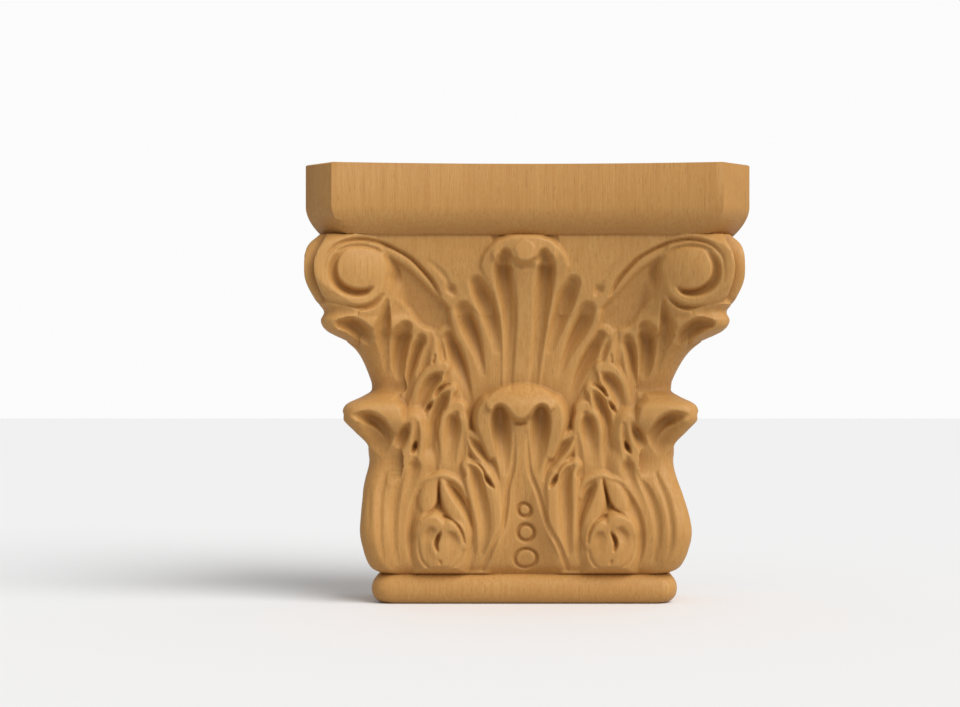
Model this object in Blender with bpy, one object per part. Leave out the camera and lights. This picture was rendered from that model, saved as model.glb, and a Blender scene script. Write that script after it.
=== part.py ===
"""A small carved wood capital for a flat pilaster, in the Corinthian manner.

One block of hardwood: a moulded abacus with a hollow front and clipped corners, a bell with
two rows of acanthus and a volute at each front corner, and an astragal at the foot. The back
is flat. Metres, +Z up, front towards -Y, origin under the middle of the whole block.
"""

import bmesh
import bpy
import numpy as np

# Driving sizes of the block
WIDTH = 0.12065
HEIGHT = 0.12065
DEPTH = 0.0443

# Abacus: a slab with an ovolo under it
ABACUS_HEIGHT = 0.0189
ABACUS_CLIP = 0.0078
ABACUS_HOLLOW = 0.0043
OVOLO_HEIGHT = 0.0076
OVOLO_REACH = 0.0038

# Astragal: the half-round ring at the foot
ASTRAGAL_HEIGHT = 0.0082
ASTRAGAL_NOSE = 0.0032
ASTRAGAL_SET_IN = 0.0013
ASTRAGAL_DRIFT = -0.0009

# Bell
NECK_WIDTH = 0.0816
VOLUTE_SET_IN = 0.0004
CORNER_ROUND = 0.0050
CORNER_DEEPEST_CUT = 0.0037
WALL_MARGIN = 0.0040

# How fine the block is cut before it is thinned to its final facets
CUT_STEP = 0.0009
CORNER_CUTS = 6
ASTRAGAL_CUTS = 10
OVOLO_CUTS = 6
FACETS = 9200
THINNING_DRIFT = 0.00005

# The carving is drawn in hundredths of the carved height, between astragal and abacus.
# Each row of a drawing is (out from the centre line, up, half width, height or depth), and
# heights stand over the neck. The neck is this many hundredths from the centre line.
NECK_OUT = 43.6
VOLUTE_OVERHANG = 20.4
LAST_OUT = 66.0
SHEET_STEP = 0.5

# Overhang of the front corners, from foot to top: lower leaf at 48, upper leaf at 75, volute at 91
OVERHANG = [
    (0, -0.6), (1.2, 1.7), (3, 3.2), (7, 4.7), (13.5, 5.7), (24, 4.1), (33, 1.9), (38, 3.0),
    (42.2, 6.1), (45, 8.3), (47.6, 9.0), (50.6, 8.0), (53.0, 3.6), (55.2, 1.1), (60, 2.4), (65.5, 5.2),
    (69, 9.4), (72.3, 14.6), (75, 16.0), (77.8, 15.2), (81, 17.4), (86, 19.7), (91, VOLUTE_OVERHANG),
    (96.5, 19.3), (100, 16.3),
]
# The plain bell behind the leaves, the margin the side carving dies into at the wall, and the
# general surface of each set of leaves
BELL = [(0, -1.0), (4, 2.2), (14, 3.4), (28, 2.6), (38, 1.8), (50, 1.2), (60, 1.8), (70, 3.2),
        (80, 5.6), (90, 8.6), (100, 11.2)]
MARGIN = [(0, -0.8), (6, 2.6), (20, 3.6), (40, 3.0), (55, 3.0), (75, 5.2), (90, 9.6), (100, 12.4)]
LOWER_LEAVES = [(0, -0.6), (4, 2.5), (14, 4.0), (28, 3.4), (40, 3.7), (48, 5.0), (56, 6.5)]
SIDE_LEAF = [(30, 1.4), (40, 2.2), (50, 2.8), (60, 3.6), (72, 4.4)]
PALMETTE = [(40, 2.2), (52, 3.0), (60, 3.8), (70, 5.2), (80, 7.6), (88, 10.0), (94, 12.0),
            (100, 13.6)]
# The bell was cut a little to one side of the abacus, more so at the waist
SIDE_DRIFT = [(0, -0.8), (8, -0.5), (15, -0.6), (21, -1.1), (28, -1.9), (35, -1.9), (48, -2.1),
              (60, -1.7), (75, -0.7), (90, -0.9), (100, -0.8)]
# Towards the wall the carving of the sides is set back by this much, and over this length
SIDE_SET_BACK = [(0, 0), (18, 0), (26, 1.8), (32, 3.2), (37, 3.4), (42, 1.8), (46, 0.6), (50, 0.8),
                 (54, 2.8), (58, 3.2), (63, 2.4), (68, 0.8), (72, 0), (100, 0)]
SET_BACK_REACH = 9.0


def smooth_path(rows, pieces=12):
    """Smooth curve through every row of a drawing, with its widths and heights."""
    rows = np.array(rows, float)
    ends = np.vstack([2 * rows[0] - rows[1], rows, 2 * rows[-1] - rows[-2]])
    t = np.linspace(0, 1, pieces, endpoint=False)[:, None]
    runs = []
    for a, b, c, d in zip(ends, ends[1:], ends[2:], ends[3:]):
        bend = (2 * a - 5 * b + 4 * c - d) * t ** 2 + (3 * b - a - 3 * c + d) * t ** 3
        runs.append(b + 0.5 * ((c - a) * t + bend))
    return np.vstack(runs + [rows[-1:]])


def profile(rows, up):
    """Value of a profile drawn as (up, value) rows."""
    path = smooth_path(rows)
    return np.interp(up, path[:, 0], path[:, 1])


def upon(surface, rows):
    """Rows whose last number is measured from a general surface instead of from the neck."""
    return [(out, up, half, float(profile(surface, up)) + more) for out, up, half, more in rows]


def joined(lower, upper, soft):
    """The higher of two surfaces, with a soft inner corner."""
    share = np.clip(0.5 + 0.5 * (lower - upper) / soft, 0, 1)
    return upper + (lower - upper) * share + soft * share * (1 - share)


class Sheet:
    """Half of the carved front laid flat: the height of the wood at each place on it."""

    def __init__(self):
        outs = np.arange(0, LAST_OUT + SHEET_STEP, SHEET_STEP)
        ups = np.arange(0, 100 + SHEET_STEP, SHEET_STEP)
        self.out, self.up = np.meshgrid(outs, ups)
        self.height = profile(BELL, self.up)
        self.overhang = profile(OVERHANG, self.up)
        self.corner = NECK_OUT + self.overhang - CORNER_ROUND / share_out()

    def near(self, path, reach):
        low = np.maximum((path[:, :2].min(axis=0) - reach) / SHEET_STEP, 0).astype(int)
        high = np.maximum((path[:, :2].max(axis=0) + reach) / SHEET_STEP + 2, 0).astype(int)
        return slice(low[1], high[1]), slice(low[0], high[0])

    def along(self, path, spot):
        """Distance to the path, and the path's half width and height, at each place."""
        out, up = self.out[spot], self.up[spot]
        away = np.full(out.shape, np.inf)
        half = np.ones(out.shape)
        level = np.zeros(out.shape)
        for start, end in zip(path, path[1:]):
            run = end - start
            t = (out - start[0]) * run[0] + (up - start[1]) * run[1]
            t = np.clip(t / max(run[0] ** 2 + run[1] ** 2, 1e-9), 0, 1)
            gap = np.hypot(out - start[0] - t * run[0], up - start[1] - t * run[1])
            closer = gap < away
            away = np.where(closer, gap, away)
            half = np.where(closer, start[2] + t * run[2], half)
            level = np.where(closer, start[3] + t * run[3], level)
        return away, half, level

    def raise_strap(self, rows, wall=0.8, soft=0.5, crown=0.0):
        """Leaves a strap of wood standing along the drawn line, with steep sides."""
        path = smooth_path(rows)
        spot = self.near(path, 10)
        away, half, level = self.along(path, spot)
        strap = level - crown * np.minimum(away / half, 1) ** 2 - np.maximum(away - half, 0) / wall
        self.height[spot] = joined(self.height[spot], strap, soft)

    def raise_plate(self, outline, surface, wall=0.7, soft=0.4):
        """Leaves a plate of wood standing inside an outline, up to the given surface."""
        ring = np.array(outline + outline[:1], float)
        away = np.full(self.out.shape, np.inf)
        inside = np.zeros(self.out.shape, bool)
        for start, end in zip(ring, ring[1:]):
            run = end - start
            t = (self.out - start[0]) * run[0] + (self.up - start[1]) * run[1]
            t = np.clip(t / (run @ run), 0, 1)
            gap = np.hypot(self.out - start[0] - t * run[0], self.up - start[1] - t * run[1])
            away = np.minimum(away, gap)
            if run[1]:
                beside = start[0] + run[0] * (self.up - start[1]) / run[1]
                inside ^= ((start[1] > self.up) != (end[1] > self.up)) & (self.out < beside)
        plate = surface - np.where(inside, 0, away) / wall
        self.height = joined(self.height, plate, soft)

    def gouge(self, strokes, power=2.0):
        """Cuts round-bottomed channels. Where two meet, the edge between them is left sharp."""
        depth = np.zeros(self.height.shape)
        for rows in strokes:
            path = smooth_path(rows)
            spot = self.near(path, 4)
            away, half, level = self.along(path, spot)
            cut = level * (1 - np.clip(away / half, 0, 1) ** power)
            depth[spot] = np.maximum(depth[spot], cut)
        self.height -= depth

    def lean_in(self, slope):
        """Surface that starts at the front corner's overhang and falls towards the centre."""
        return self.overhang - slope * np.maximum(self.corner - self.out, 0)

    def within_corner(self):
        """Keeps the carving inside the block and shallow enough to pass round the front corner."""
        deepest = self.lean_in(1.0) - CORNER_DEEPEST_CUT / share_out()
        self.height = np.clip(self.height, deepest, VOLUTE_OVERHANG)
        beside_corner = self.out > self.corner - CORNER_ROUND / share_out()
        at_most = np.where(beside_corner, self.overhang, VOLUTE_OVERHANG)
        self.height = np.minimum(self.height, at_most)


def share_out():
    """Length of one hundredth of the drawing, measured outwards."""
    return (WIDTH / 2 - NECK_WIDTH / 2 - VOLUTE_SET_IN) / VOLUTE_OVERHANG


def carve_volute(sheet):
    """Stem that rises from the bell, winds round the corner and ends at a domed eye."""
    face = VOLUTE_OVERHANG - 0.36 * (59.8 - sheet.out)
    flank = sheet.lean_in(0.5) - 1.6 - 0.35 * np.maximum(44 - sheet.out, 0)
    flank = np.where((sheet.up > 76) & (sheet.out > 40), flank, -9)
    sheet.height = joined(sheet.height, flank, 0.4)
    block = np.hypot((sheet.out - 48.5) / 11.5, (sheet.up - 90.5) / 10.5)
    sheet.height = joined(sheet.height, face - 1.0 - 9 * np.maximum(block - 1, 0), 0.5)
    stem = [(21.8, 81.0, 1.2, 6.4), (24.6, 86.8, 1.7, 9.0), (30.3, 92.4, 1.9, 10.7),
            (36.3, 96.2, 1.9, 12.2), (43.0, 99.0, 1.7, 13.9), (49.0, 99.9, 1.8, 16.0),
            (54.3, 97.6, 2.0, 18.3), (57.4, 93.0, 2.2, 19.5), (58.2, 88.0, 2.2, 19.8),
            (56.2, 83.8, 2.2, 19.0), (52.0, 81.3, 2.1, 17.3), (46.5, 81.3, 1.9, 14.8),
            (42.2, 83.6, 1.5, 12.4), (40.6, 86.5, 1.0, 10.8)]
    sheet.raise_strap(stem, wall=0.9, crown=0.35)
    rib = [(24.6, 81.5, 0.7, 5.8), (27.0, 85.6, 0.9, 7.9), (31.4, 90.2, 1.1, 9.6),
           (36.6, 93.6, 1.2, 11.2), (42.4, 96.4, 1.2, 12.8), (48.5, 97.4, 1.0, 15.0),
           (53.3, 95.3, 0.8, 17.2), (55.2, 91, 0.6, 17.8)]
    sheet.raise_strap(rib, wall=0.9, crown=0.3)
    eye = np.hypot((sheet.out - 47.3) / 6.7, (sheet.up - 89.8) / 6.0)
    dome = face + 0.9 - 1.1 * np.minimum(eye, 1) ** 2 - 7 * np.maximum(eye - 1, 0)
    sheet.height = joined(sheet.height, dome, 0.3)
    round_eye = [(43.2, 83.9, 0.9, 0.9), (47.5, 82.9, 1.5, 1.9), (52.6, 84.3, 1.9, 2.4),
                 (55.2, 88.6, 1.8, 2.0), (54.2, 93.0, 1.2, 1.3), (50.0, 96.0, 0.9, 0.9),
                 (44.6, 95.4, 0.8, 0.7), (41.3, 92.5, 0.8, 0.7)]
    beside_eye = [(40.4, 94.3, 1.2, 0.4), (39.4, 91.0, 2.4, 1.4), (38.4, 88.0, 2.4, 1.0),
                  (38.0, 85.5, 1.4, 0.3)]
    under_scroll = [(57.0, 79.6, 0.6, 1.0), (52.5, 78.6, 0.8, 1.6), (47.0, 78.5, 0.8, 1.8),
                    (43.2, 79.8, 0.8, 1.8), (40.2, 82.8, 0.6, 0.8)]
    sheet.gouge([round_eye, beside_eye, under_scroll])


def carve_upper_corner_leaf(sheet):
    """Leaf that runs up the corner, folds over below the volute and is fluted under the fold."""
    leaf = sheet.lean_in(0.42)
    sheet.height = np.where(sheet.up < 56, joined(sheet.height, leaf, 0.4), sheet.height)
    outline = [(70, 79.5), (56, 78.6), (50, 77.8), (45.5, 78.2), (42.4, 79.2), (39.7, 82.0),
               (38.0, 79.8), (36.6, 77.6), (35.4, 75.6), (33.0, 74.6), (31.0, 71.6), (29.4, 69.5),
               (30.7, 63.6), (31.9, 59.2), (33.4, 54.2), (34, 46), (70, 46)]
    surface = np.maximum(leaf, profile(BELL, sheet.up) + 0.5) + 0.9
    sheet.raise_plate(outline, surface, wall=0.8)
    fold = [(60, 77.5), (55.5, 78.3), (50, 78.1), (45.8, 77.6), (43.2, 75.4), (44.4, 73.0),
            (46.4, 74.4), (48.5, 75.6), (51, 76.5), (54, 75.9), (56.6, 74.4), (61, 72.2)]
    sheet.raise_plate(fold, leaf + 1.9, wall=0.5, soft=0.5)
    under_fold = [(53.0, 73.4, 2.4, 4.0), (49.6, 72.4, 3.2, 4.2), (46.4, 68.8, 3.2, 2.6),
                  (43.8, 63.5, 2.4, 1.1), (42.6, 54, 1.6, 0.2)]
    sheet.gouge([
        under_fold,
        [(40.2, 80.4, 0.7, 0.9), (41.0, 75.4, 1.5, 1.8), (42.0, 70, 1.8, 1.6), (40.8, 53, 1.3, 0.3)],
        [(35.2, 74.4, 1.7, 1.5), (36.8, 71.8, 1.9, 1.7), (38.0, 66, 1.7, 1.4), (37.7, 53, 1.3, 0.4)],
        [(31.2, 70.4, 1.6, 1.0), (32.6, 67.5, 2.1, 1.6), (34.2, 62, 1.9, 1.4), (35.0, 54, 1.5, 0.9)],
    ])


def carve_palmette(sheet):
    """Upper middle leaf: seven fluted lobes, the middle one folded over under the abacus."""
    lobes = [
        [(24.2, 71.3, 1.9, -0.4), (21.3, 66.4, 2.5, -0.5), (18.3, 59.6, 2.7, -0.3), (14, 45, 2.5, -0.4)],
        [(19.2, 80.7, 2.3, -0.3), (17.5, 76, 2.9, -0.3), (15.2, 70, 3.0, -0.2), (11, 48, 3, -0.2)],
        [(14.7, 87.7, 2.5, -0.1), (13.4, 82, 3.2, -0.1), (11.5, 75, 3.2, 0), (8, 50, 3, 0)],
        [(6.6, 93.4, 5.0, 0.6), (5.6, 88, 5.2, 0.5), (4.6, 78, 4.6, 0.3), (3.5, 48, 4, 0)],
    ]
    for lobe in lobes:
        sheet.raise_strap(upon(PALMETTE, lobe))
    sheet.raise_strap([(0, 95.3, 3.6, 14.6), (3.0, 95.5, 3.4, 14.3), (6.0, 95, 3.2, 13.6)])
    sheet.gouge([
        [(24.6, 72.0, 0.8, 0.5), (22.9, 71.2, 1.6, 1.4), (20.9, 67.2, 2.1, 2.0), (18.3, 61, 1.9, 1.6),
         (15.4, 48, 1.4, 0.6)],
        [(18.9, 80.3, 1.8, 1.8), (17.2, 75.8, 2.2, 2.1), (14.9, 69.5, 2.1, 1.7), (12.4, 53, 1.5, 0.7)],
        [(14.4, 87.4, 1.9, 1.8), (13.0, 82.2, 2.4, 2.3), (11.5, 75, 2.1, 1.7), (9.2, 54, 1.5, 0.7)],
        [(6.0, 94.0, 2.3, 4.6), (5.9, 90.5, 2.7, 3.6), (5.6, 84, 2.7, 2.4), (5.1, 56, 2.2, 1.3)],
    ])
    sheet.raise_strap([(0, 95.3, 2.4, 14.6), (0, 93.9, 1.5, 14.4)], wall=0.5, soft=0.3)
    sheet.gouge([[(-1, 90.6, 1.7, 2.0), (2.4, 91.4, 1.4, 2.2), (4.0, 93, 1.0, 1.5)]])


def carve_side_leaf(sheet):
    """Narrow leaf between corner and middle, with three scooped lobes one above the other."""
    outline = [(28.2, 70.6), (26.5, 72.2), (24.6, 71.4), (24.0, 66), (22.6, 62.8), (20.8, 57.5),
               (18.8, 53), (16.9, 49), (15.7, 43), (15.5, 30), (36, 30), (35.2, 46), (33.6, 54.2),
               (32.0, 59.2), (30.8, 63.6), (29.5, 67.5)]
    sheet.raise_plate(outline, profile(SIDE_LEAF, sheet.up) + 0.3)
    beside = [(28.6, 71.5, 0.8, 1.2), (31.1, 63.6, 1.1, 1.8), (33.9, 54, 1.1, 1.2), (34.8, 48, 1, 0.8)]
    sheet.gouge([beside])
    lobes = [
        [(23.8, 62.2, 1.5, 1.6), (25.4, 59.6, 2.2, 1.3), (28.0, 55.6, 2.4, 0.9), (30.2, 51.4, 2.0, 0.4)],
        [(22.2, 54.2, 1.5, 1.9), (23.8, 51.4, 2.1, 1.5), (25.6, 46.6, 2.4, 1.1), (28, 35, 1.8, 0.2)],
        [(19.0, 48.2, 2.2, 2.0), (20.0, 44, 3.2, 1.7), (20.8, 37, 3.6, 1.5), (20.8, 29, 3.4, 1.6)],
    ]
    for lobe in lobes:
        sheet.raise_strap(upon(SIDE_LEAF, lobe))
    sheet.gouge([
        [(24.6, 60.0, 1.7, 1.9), (26.6, 57.4, 2.0, 1.8), (28.7, 54.2, 1.7, 1.2), (30.2, 51, 1.2, 0.5)],
        [(22.5, 52.8, 1.3, 1.9), (24.2, 49.8, 1.7, 1.9), (25.6, 45.4, 1.7, 1.5), (27.4, 36, 1.2, 0.4)],
        [(19.0, 47.4, 1.7, 1.9), (20.4, 43.6, 2.2, 2.0), (21.6, 38.5, 2.0, 1.5), (21.6, 32, 1.6, 0.7)],
        [(24.9, 54.2, 0.5, 1.0), (23.4, 55.6, 0.8, 1.8), (21.9, 56.4, 0.5, 1.0)],
        [(24.9, 46.5, 0.7, 0.9), (24.8, 41, 0.8, 1.1), (24.5, 29.6, 0.6, 0.5)],
    ])


def carve_lower_corner_leaf(sheet):
    """Leaf that stands on the astragal at the corner, folded at the tip, with long flutes."""
    body = joined(sheet.lean_in(0.30), profile(LOWER_LEAVES, sheet.up) - 0.4, 1.0)
    outline = [(70, 53.2), (43.2, 53.0), (38.8, 52.2), (35.6, 49.6), (33.6, 47.9), (31.6, 48.2),
               (29.8, 46.4), (29.1, 42), (28.9, 36), (28.8, 30), (29.5, -1), (70, -1)]
    sheet.raise_plate(outline, body)
    fold = [(62, 54.5), (43.0, 53.2), (38.8, 52.2), (35.6, 49.0), (34.8, 45.0), (36.3, 42.2),
            (37.9, 44.2), (40.0, 46.4), (43.6, 48.1), (47.9, 48.6), (51.0, 47.2), (62, 43)]
    sheet.raise_plate(fold, sheet.lean_in(0.16) + 0.4, wall=0.5, soft=0.5)
    under_fold = [(49.0, 45.2, 2.4, 3.0), (45.2, 44.6, 3.2, 3.6), (41.6, 42.2, 3.2, 2.6),
                  (40.4, 38.0, 2.6, 1.4), (40.6, 30, 1.8, 0.6), (42.0, 18, 1.2, 0.2)]
    sheet.gouge([under_fold])
    second_lobe = [(32.0, 45.6, 2.3, 0.8), (31.8, 42, 2.8, 0.6), (32.4, 36, 3.2, 0.2)]
    third_lobe = [(31.9, 32.6, 2.9, 0.7), (32.6, 27, 3.0, 0.2), (33.6, 20, 2.6, -0.2)]
    sheet.raise_strap(upon(LOWER_LEAVES, second_lobe))
    sheet.gouge([
        [(33.0, 44.4, 1.2, 1.6), (34.6, 40.8, 1.6, 2.4), (36.2, 37.0, 1.4, 1.6), (40.6, 27, 0.9, 0.5)],
        [(30.8, 44.6, 1.0, 0.8), (30.9, 41, 1.2, 1.2), (31.2, 37, 1.3, 1.2)],
    ])
    sheet.raise_strap(upon(LOWER_LEAVES, third_lobe), wall=0.9)
    sheet.gouge([
        [(31.8, 32.2, 2.0, 1.5), (32.6, 27.0, 1.8, 1.2), (34.0, 20, 1.4, 0.9), (32.4, 2.5, 1.0, 0.4)],
        [(35.6, 30, 0.9, 0.3), (36.4, 23.4, 1.2, 0.9), (37.4, 15.5, 1.2, 1.0), (35.8, 5, 1.0, 0.3)],
        [(43.4, 30, 0.9, 0.2), (44.0, 20, 1.2, 0.7), (43.6, 12, 1.2, 0.7), (41.3, 4.2, 0.9, 0.2)],
        [(39.8, 26, 1.0, 0.2), (40.4, 16, 1.4, 0.7), (39.2, 6, 1.1, 0.2)],
    ])


def carve_lower_middle_leaf(sheet):
    """Middle leaf of the lower row: folded tip, plain stem that spreads at the foot, side lobes."""
    outline = [(-2, 56.4), (3.0, 56.0), (6.2, 54.8), (8.6, 53.0), (10.4, 50.6), (11.6, 47.6),
               (11.4, 44), (9.2, 41), (8, 37), (7.0, 31), (6.6, 20), (7.6, 12), (10.3, 8), (13, 1), (13, -1),
               (-2, -1)]
    body = [(0, -0.6), (5, 2.4), (14, 3.7), (28, 3.6), (38, 4.0), (46, 5.2), (52, 6.0), (57, 4.2)]
    sheet.raise_plate(outline, profile(body, sheet.up), wall=0.8)
    upper_lobe = [(13.6, 42.0, 1.7, 0.2), (12.0, 39.6, 2.5, 0.2), (9.6, 36, 2.6, 0.2), (7, 31, 2, 0.2)]
    lower_lobe = [(14.9, 31.8, 1.9, 0.6), (13.0, 30.4, 3.0, 0.7), (11.8, 26, 3.4, 0.6),
                  (11.4, 18, 3.6, 0.4), (12, 8, 3.4, 0.1), (13.5, 1, 2.6, 0)]
    lower_rim = [(15.4, 34.2, 0.7, 0.9), (12.4, 33.2, 0.8, 1.1), (9.9, 30.6, 0.8, 1.1),
                 (8.2, 27.2, 0.8, 1.0), (7.5, 22, 0.8, 0.8), (7.6, 14, 0.9, 0.6), (9.8, 8, 0.9, 0.5),
                 (13.4, 0, 0.9, 0.4)]
    sheet.raise_strap(upon(LOWER_LEAVES, upper_lobe))
    sheet.gouge([[(12.6, 40.2, 1.5, 1.8), (10.6, 37.6, 2.0, 2.0), (8.4, 34, 1.6, 1.5), (6.6, 30, 1, 0.4)]])
    sheet.raise_strap(upon(LOWER_LEAVES, lower_lobe))
    sheet.raise_strap(upon(LOWER_LEAVES, lower_rim))
    sheet.gouge([
        [(13.0, 30.4, 1.9, 1.5), (11.6, 26, 2.3, 1.6), (10.6, 19, 2.2, 1.5), (13.2, 3, 1.4, 0.5)],
        [(16.6, 24, 0.9, 0.3), (15.4, 17, 1.2, 0.6), (15.0, 9, 1.2, 0.6), (16.2, 2, 0.9, 0.2)],
        [(14.4, 46.6, 0.8, 1.4), (14.2, 44.2, 1.0, 1.8), (13.8, 42.8, 0.6, 0.8)],
    ])
    edge_rim = [(9.4, 50.6, 1.2, 7.4), (10.4, 48.4, 1.5, 6.9), (10.7, 45.6, 1.6, 6.4),
                (10.3, 42.6, 1.4, 5.8), (9.5, 39.4, 1.1, 5.0), (8.5, 36.0, 0.8, 4.2)]
    sheet.raise_strap(edge_rim, wall=0.6)
    fold = [(-2, 56.6), (3.0, 56.2), (6.2, 55.0), (8.4, 53.4), (9.8, 51.6), (9.8, 50.0), (8.7, 49.2),
            (7.8, 50.3), (6.4, 51.0), (4.8, 50.8), (3.4, 49.8), (2.2, 48.2), (1.0, 46.8), (-2, 46.4)]
    crest = profile([(44, 9.4), (49, 9.8), (51.5, 9.2), (54, 7.4), (56.5, 4.8), (58, 3.4)], sheet.up)
    sheet.raise_plate(fold, crest - 0.016 * sheet.out ** 2, wall=0.5)
    sheet.gouge([
        [(6.2, 48.8, 2.4, 2.6), (6.0, 46.2, 3.1, 3.0), (5.7, 42.0, 3.0, 2.3), (4.2, 31, 1.6, 0.4)],
        [(-1, 44.8, 1.5, 1.6), (1.6, 45.4, 1.2, 1.8), (3.2, 47.2, 0.8, 0.8)],
        [(2.1, 36, 0.8, 0.5), (3.9, 25.2, 0.9, 0.9), (6.7, 13.4, 1.1, 0.9), (12.2, 1.2, 1.0, 0.4)],
    ])


def carve_bud(sheet):
    """Bud between the lower leaves: two petals over a bulb with two curled lobes."""
    for petal in (
        [(25.4, 28.3, 0.9, 0.6), (27.6, 25.5, 2.2, 0.7), (28.2, 21.0, 2.6, 0.7), (27.6, 18.6, 1.8, 0.4)],
        [(22.9, 28.3, 0.9, 0.8), (21.0, 25.0, 2.2, 0.9), (19.9, 20.5, 2.9, 0.9), (18.0, 11, 1.2, 0.4)],
        [(30.6, 27.0, 0.5, 0.4), (27.2, 28.4, 0.6, 0.9), (24.0, 29.4, 0.6, 1.2), (17.4, 27, 0.5, 0.5)],
    ):
        sheet.raise_strap(upon(LOWER_LEAVES, petal))
    sheet.gouge([
        [(22.2, 26.8, 0.8, 0.9), (20.0, 24.4, 1.4, 1.3), (17.8, 21.0, 1.2, 0.9), (16.6, 17.5, 0.9, 0.4)],
        [(24.2, 28.8, 0.5, 0.6), (24.6, 24.5, 0.7, 1.2), (24.9, 18.2, 1.4, 2.2), (23.0, 16.9, 0.9, 1.2)],
    ])
    sheet.raise_strap([(25.0, 9.0, 6.4, 4.7), (25.0, 7.0, 6.2, 4.4)], wall=0.9, crown=0.9)
    sheet.raise_strap([(24.9, 4.5, 4.6, 3.7), (24.9, 2.8, 4.2, 3.0)], wall=1.0, crown=0.6)
    for curl in (
        [(31.0, 11.5, 0.6, 4.6), (30.6, 14.6, 0.8, 5.2), (28.6, 16.6, 0.9, 5.6), (24.7, 15.4, 0.8, 5.4)],
        [(23.6, 11.5, 0.5, 4.9), (23.3, 13.8, 0.8, 5.3), (21.7, 15.1, 0.9, 5.6), (18.1, 11.0, 0.8, 5.0)],
    ):
        sheet.raise_strap(curl)
    slit = [(24.6, 12.9, 0.6, 1.2), (25.6, 10.9, 0.9, 2.2), (26.2, 8.8, 0.7, 1.6), (25.6, 6.8, 0.5, 0.5)]
    sheet.gouge([slit])


def carved_sheet():
    """The whole carved front, worked from the back layers to the front ones."""
    sheet = Sheet()
    near_abacus = np.clip((sheet.up - 82) / 18, 0, 1)
    abacus_hollow = ABACUS_HOLLOW / share_out() * (sheet.out / 56) ** 2
    sheet.height += abacus_hollow * near_abacus
    carve_volute(sheet)
    carve_upper_corner_leaf(sheet)
    carve_palmette(sheet)
    carve_side_leaf(sheet)
    carve_lower_corner_leaf(sheet)
    carve_lower_middle_leaf(sheet)
    carve_bud(sheet)
    sheet.within_corner()
    return sheet


def height_at(sheet, out, up):
    """Height of the carving at any place on the sheet."""
    col = np.clip(out / SHEET_STEP, 0, sheet.height.shape[1] - 1.001)
    row = np.clip(up / SHEET_STEP, 0, sheet.height.shape[0] - 1.001)
    left, low = col.astype(int), row.astype(int)
    across, rise = col - left, row - low
    below = sheet.height[low, left] * (1 - across) + sheet.height[low, left + 1] * across
    above = sheet.height[low + 1, left] * (1 - across) + sheet.height[low + 1, left + 1] * across
    return below * (1 - rise) + above * rise


def column_places():
    """Places round the half block: shares of front, corner and side."""
    front = np.linspace(0, 1, round(WIDTH / 2 / CUT_STEP))
    corner = np.linspace(0, 1, CORNER_CUTS + 2)[1:]
    side = np.linspace(1, 0, round(DEPTH / CUT_STEP))[1:]
    return front, corner, side


def bell_section(sheet, up):
    """Half outline of the carved bell at one height: how far out, and how far off the wall."""
    front, corner, side = column_places()
    part = share_out()
    neck_depth = NECK_WIDTH / 2 - WIDTH / 2 + DEPTH
    overhang = float(profile(OVERHANG, up))
    edge_out = NECK_OUT + overhang - CORNER_ROUND / part
    edge_x = NECK_WIDTH / 2 + part * overhang - CORNER_ROUND
    edge_y = neck_depth + part * overhang - CORNER_ROUND
    wall_out = (WIDTH / 2 - DEPTH) / part
    front_height = height_at(sheet, front * edge_out, np.full(front.shape, up))
    turn = corner * np.pi / 2
    corner_out = edge_out + CORNER_ROUND / part * np.sin(np.minimum(turn, np.pi / 2 - turn))
    corner_height = height_at(sheet, corner_out, np.full(corner.shape, up))
    reach = CORNER_ROUND - part * (overhang - corner_height)
    side_out = wall_out + side * (edge_out - wall_out)
    side_height = height_at(sheet, side_out, np.full(side.shape, up))
    behind = np.clip((edge_out - side_out) / SET_BACK_REACH, 0, 1)
    side_height = side_height - profile(SIDE_SET_BACK, up) * behind ** 2 * (3 - 2 * behind)
    margin = np.clip(side * edge_y / WALL_MARGIN, 0, 1)
    margin = margin ** 2 * (3 - 2 * margin)
    side_height = profile(MARGIN, up) * (1 - margin) + side_height * margin
    x = np.concatenate([front * edge_x, edge_x + reach * np.sin(turn),
                        NECK_WIDTH / 2 + part * side_height])
    y = np.concatenate([neck_depth + part * front_height, edge_y + reach * np.cos(turn),
                        side * edge_y])
    return x, y


def round_section(half_width, depth):
    """Half outline of a plain band with rounded front corners."""
    front, corner, side = column_places()
    turn = corner * np.pi / 2
    edge_x = half_width - CORNER_ROUND
    edge_y = depth - CORNER_ROUND
    x = np.concatenate([front * edge_x, edge_x + CORNER_ROUND * np.sin(turn),
                        np.full(side.shape, half_width)])
    y = np.concatenate([np.full(front.shape, depth), edge_y + CORNER_ROUND * np.cos(turn),
                        side * edge_y])
    return x, y


def abacus_section(set_in):
    """Half outline of the abacus: hollow front, clipped corner, square side."""
    front, corner, side = column_places()
    half_width = WIDTH / 2 - set_in
    depth = DEPTH - set_in
    edge_x = half_width - ABACUS_CLIP
    edge_y = depth - ABACUS_CLIP
    hollow = ABACUS_HOLLOW * (1 - front ** 2)
    x = np.concatenate([front * edge_x, edge_x + ABACUS_CLIP * corner,
                        np.full(side.shape, half_width)])
    y = np.concatenate([depth - hollow, depth - ABACUS_CLIP * corner, side * edge_y])
    return x, y


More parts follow.
